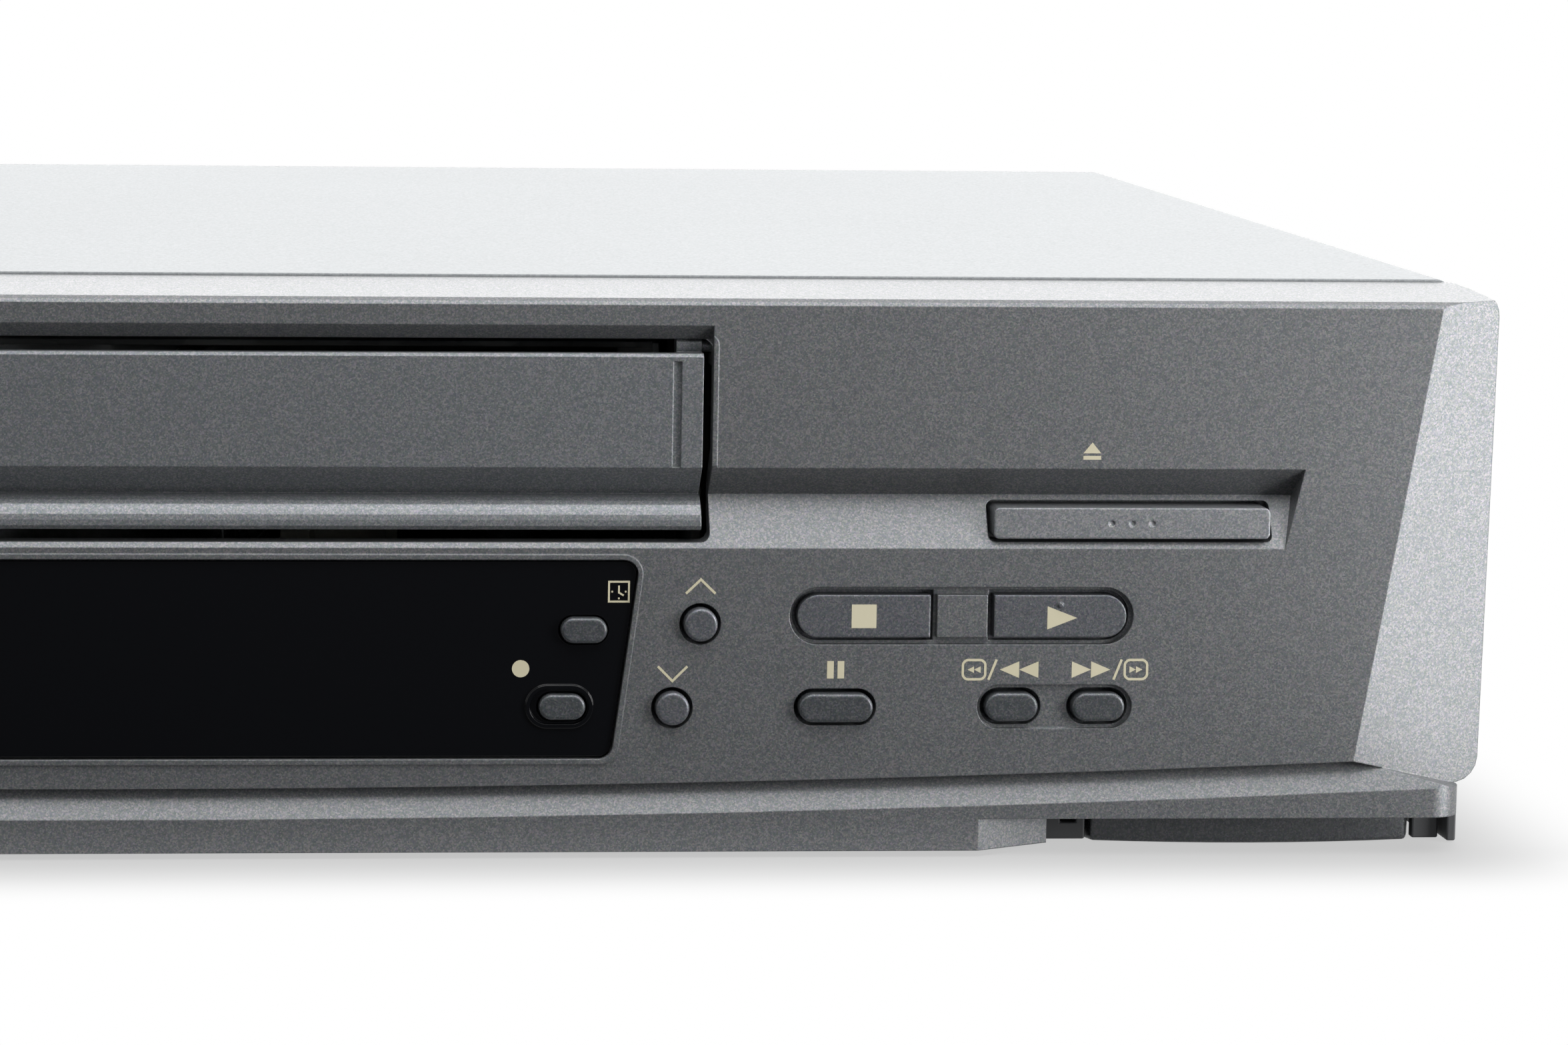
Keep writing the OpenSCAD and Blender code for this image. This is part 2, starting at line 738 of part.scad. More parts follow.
// The spring sits round the flap's left pin, behind the panel's ear
module flap_spring() {
    wire = 0.25;
    color(c_steel) placed()
        translate([slot_x - slot_w / 2 - 4 - gap - wire, hinge_in, hinge_z])
            rotate([0, -90, 0]) wound_wire(1.32, wire, 0.75, 3);
}

// DISPLAY
module display_window() {
    rim = 0.7;
    color(c_window) placed() difference() {
        union() {
            along_d(window_front, window_back) window_outline(0);
            translate([record_x - 0.4, 0, record_z]) along_d(-0.2, window_front + 0.1)
                obround(record_w + 3.3, record_h + 2.8);
        }
        translate([record_x - 0.4, 0, record_z]) along_d(-cut, window_front)
            obround(record_w + 3.3 - 2 * rim, record_h + 2.8 - 2 * rim);
        translate([record_x, 0, record_z]) along_d(-cut, window_back + cut)
            obround(record_w + 2 * gap, record_h + 2 * gap);
        translate([timer_x, 0, timer_z]) along_d(-cut, window_back + cut)
            obround(record_w + 2 * gap, record_h + 2 * gap);
    }
}

module display_module() {
    color([0.2, 0.25, 0.24]) placed() {
        block([-62, 5.5, 20], [50, 11.5, 43]);
        block([-66, 11.5, 18.5], [54, front_board_d - 0.05, 44.5]);
    }
}

module front_board() {
    back = front_board_d + board_t;
    half = panel_w / 2 - 16;
    color(c_board) placed() {
        block([-half, front_board_d, 15], [half, back, 46]);
        block([98, front_board_d, 45.9], [half, back, 57]);
    }
}

// Where each switch stands behind its button
switch_places = [[up_x, up_z], [down_x, down_z], [stop_x, play_z], [play_x, play_z],
    [pause_x, wind_z], [rewind_x, wind_z], [forward_x, wind_z], [record_x, record_z],
    [timer_x, timer_z], [eject_x, eject_z], [standby_x, play_z]];

module push_switches() {
    body = 3.5;
    color(c_black) placed()
        for (p = switch_places)
            translate([p[0], front_board_d, p[1]]) {
                block([-3, -body, -3], [3, -0.02, 3]);
                translate([0, -body, 0]) rotate([90, 0, 0]) cylinder(r = 1.7, h = switch_h - body);
            }
}

// BUTTONS
// A moulded button: its cap is the child outline, with a rim behind the hole and a stem
module button(x, z, out, rim_d) {
    placed() translate([x, 0, z]) {
        along_d(-out, rim_d + 0.1) children(0);
        along_d(rim_d, rim_d + key_rim_t) children(1);
        block([-key_stem / 2, rim_d + key_rim_t - 0.1, -key_stem / 2],
            [key_stem / 2, stem_end, key_stem / 2]);
    }
}

module obround_button(x, z, w, h, out, rim_d) {
    button(x, z, out, rim_d) {
        obround(w, h);
        obround(w + 2 * key_rim, h + 2 * key_rim);
    }
}

module round_button(x, z) {
    button(x, z, button_out, button_back) {
        circle(r = channel_r);
        circle(r = channel_r + key_rim);
    }
}

module wide_key(x, round_side) {
    button(x, play_z, button_out - play_recess, button_back) {
        half_round(play_w, play_h, round_side);
        half_round(play_w + 2 * key_rim, play_h + 2 * key_rim, round_side);
    }
}

module eject_outline(grow) {
    polygon(rounded([[-eject_w / 2 - grow, -eject_h / 2 - grow],
        [eject_w / 2 + grow, -eject_h / 2 - grow], [eject_w / 2 + grow, eject_h / 2 + grow],
        [-eject_w / 2 - grow, eject_h / 2 + grow]], 0.8));
}

module button_eject() {
    color(c_panel) difference() {
        button(eject_x, eject_z, 0.4, groove_in + wall + gap / 2) {
            eject_outline(0);
            eject_outline(key_rim);
        }
        // Three small dimples for the finger
        placed() for (i = [-1:1])
            translate([eject_x + 3.2 * i, 0, eject_z])
                along_d(-cut, -0.2) circle(r = 0.45);
    }
}

module button_stop() { color(c_panel_light) wide_key(stop_x, -1); }

// The play key carries a small dot for the finger
module button_play() {
    color(c_panel_light) {
        wide_key(play_x, 1);
        placed() translate([play_x, 0, play_z + play_h / 2 - 1.5])
            along_d(play_recess - button_out - 0.3, 0) circle(r = 0.4);
    }
}

module button_pause() {
    color(c_panel_light) obround_button(pause_x, wind_z, pause_w, wind_h, button_out, button_back);
}

module button_rewind() {
    color(c_panel_light) obround_button(rewind_x, wind_z, wind_w, wind_h, 0.8, button_back);
}

module button_forward() {
    color(c_panel_light) obround_button(forward_x, wind_z, wind_w, wind_h, 0.8, button_back);
}

module button_channel_up() { color(c_panel_light) round_button(up_x, up_z); }

module button_channel_down() { color(c_panel_light) round_button(down_x, down_z); }

module button_record() {
    color(c_panel_light)
        obround_button(record_x, record_z, record_w, record_h, 1, window_back + gap / 2);
}

module button_timer() {
    color(c_panel_light)
        obround_button(timer_x, timer_z, record_w, record_h, 1, window_back + gap / 2);
}

module button_standby() {
    color(c_panel_light)
        obround_button(standby_x, play_z, standby_w, play_h, button_out, button_back);
}

// CASE
module cover_outline(grow) {
    half = case_w / 2 + grow;
    top = case_h + grow;
    r = cover_r + grow;
    translate([-half, cover_low - (grow < 0 ? 5 : 0)])
        square([2 * half, top - r - cover_low + (grow < 0 ? 5 : 0)]);
    translate([-half + r, 60]) square([2 * (half - r), top - 60]);
    for (side = [-1, 1]) translate([side * (half - r), top - r]) circle(r = r);
}

// Sheet cover with two fields of cooling slots and its screw holes
module top_cover() {
    slot = [2.5, 24];
    color(c_cover) placed() difference() {
        along_d(panel_d + gap, case_d) difference() {
            cover_outline(0);
            cover_outline(-sheet);
        }
        for (i = [0:13])
            translate([-case_w / 2 + 16.5 + 6 * i, 0, 0])
                for (row = [0, 1])
                    block([0, case_d - 96 + 34 * row, case_h - 5],
                        [slot[0], case_d - 96 + 34 * row + slot[1], case_h + cut]);
        for (i = [0:9])
            translate([0, case_d - 90 + 6 * i, 0])
                block([-case_w / 2 - cut, 0, case_h - 37.4],
                    [-case_w / 2 + 5, slot[0], case_h - 15.4]);
        for (d = side_screw_d)
            pin_x(screw_r + gap, -case_w / 2 - cut, case_w / 2 + cut, d, side_screw_z);
    }
}

// Low walls under the front panel's right corner, on both sides of the foot
module corner_lips() {
    lip_back = lip_d + lip_t;
    lip_end = foot_r - 1;
    tab_back = panel_d - 2 * gap;
    difference() {
        block([foot_x - lip_end - 14.4, lip_d, lip_low],
            [foot_x - lip_end, lip_back, base_z + 0.1]);
        block([foot_x - 30.5, lip_d - cut, base_z - 3], [foot_x - 28, lip_back + cut, base_z]);
    }
    block([foot_x + lip_end, lip_d, lip_low], [tray_half - 0.1, lip_back, base_z + 0.1]);
    block([tray_half - 0.1, lip_d, base_z], [lip_out, tab_back, floor_top]);
    block([lip_out - tray_wall, foot_front, lip_low], [lip_out, tab_back, floor_top]);
}

// Moulded base: floor, side rims down to the table, posts, screw bosses and lips
module base_tray() {
    rear_edge = rear_d + rear_t;
    wall_back = rear_d - gap;
    color(c_black) placed() difference() {
        union() {
            block([-tray_half, tray_front, base_z], [tray_half, rear_edge, floor_top]);
            for (side = [-1, 1]) {
                low = side > 0 ? tray_half - tray_wall : -tray_half;
                block([low, lip_d, lip_low], [low + tray_wall, wall_back, tray_wall_top]);
            }
            block([-tray_half, wall_back - tray_wall, base_z], [tray_half, wall_back, board_z]);
            for (x = rear_screw_x)
                block([x - 5, wall_back - 8, base_z], [x + 5, wall_back, side_screw_z + 5]);
            // Posts under the boards
            for (x = [-tray_half + 6.7, split_x - 8, 10, 120, tray_half - 11.4])
                for (d = [60, 160, rear_d - 21.8])
                    translate([x, d, base_z]) cylinder(r = 3, h = board_z - base_z);
            // Posts under the deck plate
            for (side = [-1, 1])
                for (d = post_d)
                    translate([slot_x + side * post_x, d, base_z])
                        cylinder(r = deck_post_r, h = deck_z - base_z);
            for (side = [0, 1]) mirror([side, 0, 0]) corner_lips();
        }
        for (d = side_screw_d)
            pin_x(screw_r + 0.02, -panel_w, panel_w, d, side_screw_z);
        for (x = rear_screw_x)
            translate([x, 0, side_screw_z]) along_d(wall_back - 8, wall_back + cut)
                circle(r = screw_r + 0.02);
        for (side = [-1, 1])
            for (d = post_d)
                translate([slot_x + side * post_x, d, deck_z - 6])
                    cylinder(r = screw_r + 0.02, h = 6 + cut);
    }
}

module feet() {
    arc_middle = foot_arc + foot_front - foot_d[0];
    color(c_black) placed()
        for (side = [-1, 1])
            for (end = [0, 1])
                translate([side * foot_x, foot_d[end], 0]) rotate([0, 0, 180 * end])
                    intersection() {
                        cylinder(r = foot_r, h = base_z);
                        translate([0, arc_middle, 0]) cylinder(r = foot_arc, h = base_z);
                    }
}

module rear_panel() {
    color(c_steel) placed() difference() {
        along_d(rear_d, rear_d + rear_t)
            polygon(rounded([[-tray_half, floor_top], [tray_half, floor_top],
                [tray_half, case_h - sheet - gap], [-tray_half, case_h - sheet - gap]],
                cover_r - sheet));
        for (z = aerial_z)
            translate([tuner_x, 0, z]) along_d(rear_d - cut, case_d) circle(r = collar_r + gap);
        for (x = scart_x)
            block([x - scart_w / 2 - gap, rear_d - cut, rear_socket_z - gap],
                [x + scart_w / 2 + gap, case_d, rear_socket_z + scart_h + gap]);
        for (x = phono_x)
            translate([x, 0, rear_socket_z + 8]) along_d(rear_d - cut, case_d)
                circle(r = phono_r + 1 + gap);
        block([mains_x - mains_w / 2 - gap, rear_d - cut, board_top + 5 - gap],
            [mains_x + mains_w / 2 + gap, case_d, board_top + 5 + mains_h + gap]);
        for (x = rear_screw_x)
            translate([x, 0, side_screw_z]) along_d(rear_d - cut, case_d)
                circle(r = screw_r + gap);
        // Cooling slots above the sockets
        for (i = [0:15])
            translate([-tray_half + 21.4 + 6 * i, 0, 0])
                block([0, rear_d - cut, case_h - 27.4], [2.5, case_d, case_h - 9.4]);
    }
}

// Screened tuner box on the main board
module tuner_box() {
    color(c_steel) placed() {
        low = [tuner_x - tuner_w / 2, board_back - tuner_d, board_top];
        high = [tuner_x + tuner_w / 2, rear_d - gap, board_top + tuner_h];
        difference() {
            block(low, [high[0], board_back - 1, high[2]]);
            for (z = aerial_z)
                translate([tuner_x, 0, z]) along_d(board_back - 12, case_d)
                    circle(r = aerial_r - 1.5 + 0.02);
            for (i = [0:3])
                translate([tuner_x - 15 + 10 * i, board_back - tuner_d + 24, high[2] - 1])
                    cylinder(r = 2, h = 1 + cut);
        }
    }
}

module aerial_sockets() {
    color(c_steel) placed()
        for (z = aerial_z)
            translate([tuner_x, 0, z]) difference() {
                union() {
                    along_d(board_back - 1, collar_d) circle(r = collar_r);
                    along_d(collar_d - 0.1, case_d + aerial_out) circle(r = aerial_r);
                    along_d(board_back - 11, board_back) circle(r = aerial_r - 1.5);
                }
                along_d(case_d + aerial_out - 12, case_d + aerial_out + cut)
                    difference() {
                        circle(r = aerial_r - 0.6);
                        circle(r = 1.2);
                    }
            }
}

module scart_sockets() {
    depth = 14;
    lip = 1.6;
    color(c_black) placed()
        for (x = scart_x)
            difference() {
                union() {
                    block([x - scart_w / 2, board_back - 3, rear_socket_z],
                        [x + scart_w / 2, rear_d + rear_t + 2, rear_socket_z + scart_h]);
                    block([x - scart_w / 2 + 3, board_back - 16, board_top],
                        [x + scart_w / 2 - 3, board_back - 3 + 0.1, rear_socket_z + scart_h]);
                }
                block([x - scart_w / 2 + lip, rear_d + rear_t + 2 - depth, rear_socket_z + 3],
                    [x + scart_w / 2 - lip, case_d + cut, rear_socket_z + scart_h - 3]);
            }
}

module phono_sockets() {
    z = rear_socket_z + 8;
    color(c_black) placed() difference() {
        union() {
            block([phono_x[0] - 7, board_back - 12, board_top],
                [phono_x[2] + 7, board_back, z + 8]);
            for (x = phono_x) translate([x, 0, z]) {
                along_d(board_back - 0.1, collar_d) circle(r = phono_r + 1);
                along_d(collar_d - 0.1, case_d + 5.5) circle(r = phono_r);
            }
        }
        for (x = phono_x)
            translate([x, 0, z]) along_d(case_d - 4, case_d + 5.5 + cut) circle(r = 1.7);
    }
}

module mains_inlet() {
    low = board_top + 5;
    color(c_black) placed() {
        difference() {
            union() {
                block([mains_x - mains_w / 2, board_back - 1, low],
                    [mains_x + mains_w / 2, rear_d + rear_t + 1.5, low + mains_h]);
                block([mains_x - mains_w / 2 + 3, board_back - 14, board_top],
                    [mains_x + mains_w / 2 - 3, board_back - 0.9, low + mains_h - 2]);
            }
            translate([mains_x, 0, low + mains_h / 2])
                along_d(rear_d - 9, rear_d + rear_t + 1.5 + cut) obround(17, 9);
        }
        for (side = [-1, 1])
            translate([mains_x + side * 4.3, 0, low + mains_h / 2])
                along_d(rear_d - 9.1, rear_d - 0.5) circle(r = 1.2);
    }
}

// BOARDS
module main_board() {
    hole = deck_post_r + 0.5;
    color(c_board) placed() difference() {
        block([split_x + gap, 30, board_z], [tray_half - tray_wall - 1, board_back, board_top]);
        for (side = [-1, 1])
            for (d = post_d)
                translate([slot_x + side * post_x, d, board_z - cut])
                    cylinder(r = hole, h = board_t + 2 * cut);
        boss_notches();
    }
}

// Notches in the boards for the bosses of the rear screws
module boss_notches() {
    for (x = rear_screw_x)
        block([x - 5.5, rear_d - gap - 8.5, board_z - cut], [x + 5.5, case_d, board_top + cut]);
}

module power_board() {
    color(c_board) placed() difference() {
        block([-tray_half + tray_wall + 1, 50, board_z], [split_x - gap, board_back, board_top]);
        boss_notches();
    }
}

// Laminated core with its winding through the middle
module transformer() {
    x = -tray_half + 36.4;
    d = 140;
    z = board_top;
    color(c_black) placed() {
        difference() {
            block([x - 21, d - 12, z + 2], [x + 21, d + 12, z + 38]);
            for (side = [-1, 1])
                block([x + side * 10.5 - 5.2, d - 13, z + 9], [x + side * 10.5 + 5.2, d + 13, z + 31]);
        }
        block([x - 15.5, d - 18, z + 9.2], [x + 15.5, d + 18, z + 30.8]);
        for (side = [-1, 1])
            block([x - 12, d + side * 15 - 2, z], [x + 12, d + side * 15 + 2, z + 9.3]);
    }
}

module heat_sink() {
    x = -tray_half + 51.4;
    color(c_steel) placed() {
        block([x, 88, board_top], [x + 3, 122, board_top + 44]);
        for (i = [0:4])
            block([x - 10, 89 + 7.5 * i, board_top + 4], [x + 0.1, 90.5 + 7.5 * i, board_top + 44]);
    }
}

// Electrolytic capacitors of the power board and the main board
module capacitors() {
    left = -tray_half + 21.4;
    middle = split_x - 15.3;
    right = tray_half - 26.4;
    places = [[left, 200, 11, 34], [left + 25, 205, 9, 28], [left, 175, 6, 18],
        [middle, 190, 6, 20], [middle, 170, 5, 14], [middle, 222, 5, 14],
        [130, 120, 5, 13], [145, 120, 5, 13], [160, 150, 4, 11], [130, 190, 6, 16],
        [right, 110, 4, 11], [right, 170, 5, 13]];
    color([0.1, 0.14, 0.25]) placed()
        for (p = places)
            translate([p[0], p[1], board_top]) cylinder(r = p[2], h = p[3]);
}

// DECK

// Slot that guides one loading pole from the cassette's mouth to the drum's side
module track_slot(side, z0, z1, w) {
    translate([slot_x, 0, 0]) mirror([side < 0 ? 1 : 0, 0, 0])
        translate([track_start[0], track_start[1], z0]) rotate([0, 0, track_angle])
            linear_extrude(height = z1 - z0)
                translate([track_len / 2, 0]) obround(track_len + 6 + w, w);
}

module deck_plate() {
    color(c_steel) placed() difference() {
        union() {
            block([slot_x - deck_half, deck_front, deck_z],
                [slot_x + deck_half, deck_back, deck_top]);
            for (side = [-1, 1]) {
                post(reel_post_r, side * reel_pitch / 2, reel_d, deck_z, 44);
                post(4, side * reel_pitch / 2, reel_d, deck_z, wheel_z - run_fit);
            }
            post(pinch_post_r, pinch_pivot[0], pinch_pivot[1], deck_z, pinch_arm_z + 4);
            post(cam_post_r, cam_place[0], cam_place[1], deck_z, 34);
            post(6, cam_place[0], cam_place[1], deck_z, 26.1 + 0.05);
            post(4, 0, clutch_d, deck_z - 4, deck_top);
            post(2, -72, mouth_d - 21.5, deck_z, 36);
        }
        post(reel_post_r + run_fit, 0, clutch_d, deck_z - 5, deck_top + 1);
        post(capstan_r + 1, capstan_x, capstan_d, deck_z - cut, deck_top + cut);
        post(capstan_r + 1, pinion_place[0], pinion_place[1], deck_z - cut, deck_top + cut);
        for (side = [-1, 1])
            track_slot(side, deck_z - cut, deck_top + cut, keel_w + 2 * run_fit);
        for (side = [-1, 1])
            for (d = post_d)
                post(screw_r + gap, side * post_x, d, deck_z - cut, deck_top + cut);
    }
}

module side_bracket(side) {
    outer = bracket_in + bracket_t;
    front = deck_front + 0.5;
    back = runner_pin_d[1] + load_in + 8;
    top = runner_pin_z + 6;
    color(c_steel) placed() translate([slot_x, 0, 0]) mirror([side < 0 ? 1 : 0, 0, 0])
        difference() {
            union() {
                block([bracket_in, front, deck_top], [outer, back, top]);
                block([bracket_in, front, deck_top], [outer + 5, back, deck_top + 1.2]);
            }
            // Guide slot of the runner's pins
            translate([0, (runner_pin_d[0] + runner_pin_d[1] + load_in) / 2, runner_pin_z])
                rotate([90, 0, 90]) translate([0, 0, bracket_in - cut])
                    linear_extrude(height = bracket_t + 2 * cut)
                        obround(runner_pin_d[1] - runner_pin_d[0] + load_in
                            + 2 * (slide_pin_r + run_fit), 2 * (slide_pin_r + run_fit));
        }
}

module bracket_left() { side_bracket(-1); }

module bracket_right() { side_bracket(1); }

module carriage_runner() {
    low = holder_pin_z - load_down - 5;
    bar_z = holder_top + holder_t + 0.5;
    color(c_white) placed() translate([slot_x, 0, 0]) {
        for (side = [-1, 1]) mirror([side < 0 ? 1 : 0, 0, 0]) {
            difference() {
                block([runner_in, runner_front, low],
                    [runner_out, runner_front + runner_len, bar_z + 1.5]);
                for (d = holder_pin_d)
                    translate([runner_in - cut, d, holder_pin_z - load_down / 2])
                        rotate([90, 0, 90]) linear_extrude(height = runner_t + 2 * cut)
                            rotate([0, 0, 90])
                                obround(load_down + 2 * (slide_pin_r + run_fit),
                                    2 * (slide_pin_r + run_fit));
            }
            for (d = runner_pin_d)
                pin_x(slide_pin_r, runner_out - 0.1, bracket_in + bracket_t + 0.8, d,
                    runner_pin_z);
        }
        block([-runner_out, runner_front + runner_len - 5, bar_z],
            [runner_out, runner_front + runner_len - 1, bar_z + 1.5]);
    }
}

// Sheet holder: side walls, two ledges under the cassette, a top plate and rear stops
module cassette_holder() {
    outer = holder_half + holder_t;
    front = holder_front;
    back = holder_front + holder_d;
    ledge = 11;
    top = holder_top + holder_t;
    color(c_steel) placed() translate([slot_x, 0, 0]) {
        for (side = [-1, 1]) mirror([side < 0 ? 1 : 0, 0, 0]) {
            block([holder_half, front, holder_floor - holder_t], [outer, back, top]);
            block([holder_half - ledge, front, holder_floor - holder_t],
                [outer, back, holder_floor]);
            block([holder_half - ledge, back - holder_t, holder_floor - holder_t],
                [outer, back, holder_floor + 6]);
            for (d = holder_pin_d)
                pin_x(slide_pin_r, outer - 0.1, runner_out - 0.3, d, holder_pin_z);
        }
        block([-outer, front + 2, holder_top], [outer, back, top]);
    }
}

// HEAD DRUM
module tilted() {
    placed() translate([slot_x, drum_d, deck_top]) rotate([-drum_tilt, 0, 0]) children();
}

module drum_base() {
    color(c_steel) difference() {
        tilted() cylinder(r = drum_r - 2, h = 20, center = true);
        placed() block([slot_x - 60, drum_d - 60, deck_top - 40],
            [slot_x + 60, drum_d + 60, deck_top]);
        tilted() translate([0, 0, drum_seat]) cylinder(r = drum_r + 5, h = 20);
    }
}

module drum_lower() {
    color(c_steel) tilted() difference() {
        union() {
            translate([0, 0, drum_seat]) cylinder(r = drum_r, h = drum_split - 4 - drum_seat);
            translate([0, 0, drum_seat]) cylinder(r = drum_r - 0.5, h = drum_split - drum_seat);
        }
        translate([0, 0, drum_seat + 3]) cylinder(r = drum_shaft_r + run_fit, h = 30);
    }
}

module drum_upper() {
    color(c_steel) tilted() {
        difference() {
            union() {
                translate([0, 0, drum_split + drum_gap])
                    cylinder(r = drum_r, h = drum_top - drum_split - drum_gap - 4);
                translate([0, 0, drum_top - 4.1]) cylinder(r = 14, h = 4.1);
                translate([0, 0, drum_seat + 3.5]) cylinder(r = drum_shaft_r, h = 30);
            }
            // Windows of the video heads in the lower rim
            for (a = [0, 90, 180, 270])
                rotate([0, 0, a])
                    translate([drum_r - 2, -2.5, drum_split + drum_gap - cut]) cube([4, 5, 3]);
            for (a = [45, 135, 225, 315])
                rotate([0, 0, a]) translate([9, 0, drum_top - 2]) cylinder(r = 1.3, h = 4);
        }
    }
}

// CAPSTAN, BELT AND CLUTCH
module capstan_bearing() {
    color(c_steel) placed() translate([slot_x + capstan_x, capstan_d, deck_top])
        difference() {
            union() {
                cylinder(r = 5, h = bearing_h);
                translate([-8, -4, 0]) cube([16, 8, 2]);
            }
            translate([0, 0, -cut]) cylinder(r = capstan_r + run_fit, h = bearing_h + 2 * cut);
        }
}

module capstan_flywheel() {
    color(c_steel) placed() {
        post(flywheel_r, capstan_x, capstan_d, fly_top - fly_t, fly_top);
        post(capstan_pulley_r, capstan_x, capstan_d, pulley_z, fly_top - fly_t + 0.1);
        post(capstan_r, capstan_x, capstan_d, pulley_z, capstan_top);
        post(3, capstan_x, capstan_d, deck_top + bearing_h + run_fit, pinch_z - 0.6);
    }
}

// Flat belt round two pulleys, outside or inside by the given growth
module belt_outline(grow) {
    hull() {
        translate([slot_x + capstan_x, capstan_d]) circle(r = capstan_pulley_r + grow, $fn = 64);
        translate([slot_x, clutch_d]) circle(r = clutch_pulley_r + grow, $fn = 64);
    }
}

module drive_belt() {
    color(c_black) placed()
        translate([0, 0, pulley_z + (pulley_t - belt_h) / 2]) linear_extrude(height = belt_h)
            difference() {
                belt_outline(belt_t);
                belt_outline(run_fit * 2);
            }
}

module clutch_pulley() {
    color(c_white) placed() {
        post(clutch_pulley_r, 0, clutch_d, pulley_z, pulley_z + pulley_t);
        post(reel_post_r, 0, clutch_d, pulley_z, 33);
        post(clutch_wheel_r, 0, clutch_d, wheel_z, wheel_z + wheel_t);
        post(5, 0, clutch_d, pulley_z + pulley_t - 0.1, deck_z - 4 - run_fit);
    }
}

module idler_arm() {
    z = wheel_z + wheel_t + 0.8;
    color(c_black) placed() difference() {
        union() {
            translate([slot_x, clutch_d - idler_arm_l / 2, z])
                linear_extrude(height = 1.2) rotate([0, 0, 90]) obround(idler_arm_l + 9, 9);
            post(1, 0, clutch_d - idler_arm_l, wheel_z, z + 0.1);
            post(4, 0, clutch_d, z, z + 2.6);
        }
        post(reel_post_r + run_fit, 0, clutch_d, z - cut, z + 5);
    }
}

module idler_wheel() {
    color(c_black) placed() difference() {
        post(idler_r, 0, clutch_d - idler_arm_l, wheel_z, wheel_z + wheel_t);
        post(1 + run_fit, 0, clutch_d - idler_arm_l, wheel_z - cut, wheel_z + wheel_t + cut);
    }
}

module reel_table(side) {
    x = side * reel_pitch / 2;
    hub_top = 43;
    color(c_white) placed() difference() {
        union() {
            post(reel_r, x, reel_d, wheel_z, wheel_z + wheel_t);
            post(spindle_r - 2, x, reel_d, wheel_z, hub_top);
            for (a = [0, 120, 240])
                translate([slot_x + x, reel_d, wheel_z]) rotate([0, 0, a])
                    translate([0, -1.2, 0]) cube([spindle_r, 2.4, hub_top - 2 - wheel_z]);
        }
        post(reel_post_r + run_fit, x, reel_d, wheel_z - cut, hub_top + cut);
    }
}

module reel_supply() { reel_table(-1); }

module reel_takeup() { reel_table(1); }

// PINCH ROLLER
module pinch_arm() {
    middle = (pinch_pivot + pinch_pin) / 2;
    color(c_steel) placed() difference() {
        union() {
            translate([slot_x + middle[0], middle[1], pinch_arm_z])
                rotate([0, 0, pinch_turn]) linear_extrude(height = 2)
                    obround(pinch_reach + 12, 12);
            post(5.5, pinch_pivot[0], pinch_pivot[1], deck_top + 0.1, pinch_arm_z + 0.1);
            post(slide_pin_r, pinch_pin[0], pinch_pin[1], pinch_z - 1, pinch_arm_z + 0.1);
            post(3, pinch_pin[0], pinch_pin[1], pinch_z - 1.5, pinch_z - run_fit);
        }
        post(pinch_post_r + run_fit, pinch_pivot[0], pinch_pivot[1], deck_top - cut,
            pinch_arm_z + 5);
    }
}

module pinch_roller() {
    color(c_black) placed() difference() {
        post(pinch_r, pinch_pin[0], pinch_pin[1], pinch_z, pinch_z + pinch_h);
        post(slide_pin_r + run_fit, pinch_pin[0], pinch_pin[1], pinch_z - cut,
            pinch_z + pinch_h + cut);
    }
}

// GUIDES AND HEADS
module tension_arm() {
    z = deck_top + 5.5;
    turn = atan2(tension_tip[1] - tension_pivot[1], tension_tip[0] - tension_pivot[0]);
    reach = norm(tension_tip - tension_pivot);
    middle = (tension_pivot + tension_tip) / 2;
    color(c_steel) placed() difference() {
        union() {
            translate([slot_x + middle[0], middle[1], z]) rotate([0, 0, turn])
                linear_extrude(height = 1.2) obround(reach + 6, 6);
            post(4, tension_pivot[0], tension_pivot[1], deck_top + run_fit, z + 0.1);
            post(1.5, tension_tip[0], tension_tip[1], z, 46);
        }
        post(2 + run_fit, tension_pivot[0], tension_pivot[1], deck_top - cut, z + 5);
    }
}

module erase_head() {
    color(c_steel) placed() {
        block([slot_x - 68, mouth_d + 7, deck_top], [slot_x - 56, mouth_d + 19, deck_top + 2]);
        block([slot_x - 66, mouth_d + 8, deck_top], [slot_x - 58, mouth_d + 17, 46]);
    }
}

module audio_head() {
    color(c_steel) placed() translate([slot_x + 57, mouth_d + 27.5, 0]) rotate([0, 0, -35]) {
        block([-8, -5, deck_top], [8, 7, deck_top + 2]);
        block([-5, -4, deck_top], [5, 5, 46]);
    }
}

module tape_guides() {
    color(c_steel) placed()
        for (p = [[-56, mouth_d + 27], [50, mouth_d + 16.5]]) {
            post(2.2, p[0], p[1], deck_top, 48);
            post(3, p[0], p[1], deck_top, 29);
            post(3, p[0], p[1], 43, 45);
        }
}

// LOADING DRIVE
// Outline of a spur gear with straight flanks and the stated slack at each flank
function gear_outline(teeth, slack) =
    let (r = gear_m * teeth / 2, tip = r + 0.75 * gear_m, root = r - 1.1 * gear_m,
        half = 90 / teeth - slack / r * 180 / PI,
        tip_half = half - 0.75 * gear_m * tan(20) / r * 180 / PI,
        root_half = half + 1.1 * gear_m * tan(20) / r * 180 / PI)
    [for (i = [0:teeth - 1]) let (c = 360 * i / teeth)
        each [root * [cos(c - root_half), sin(c - root_half)],
            tip * [cos(c - tip_half), sin(c - tip_half)],
            tip * [cos(c + tip_half), sin(c + tip_half)],
            root * [cos(c + root_half), sin(c + root_half)]]];

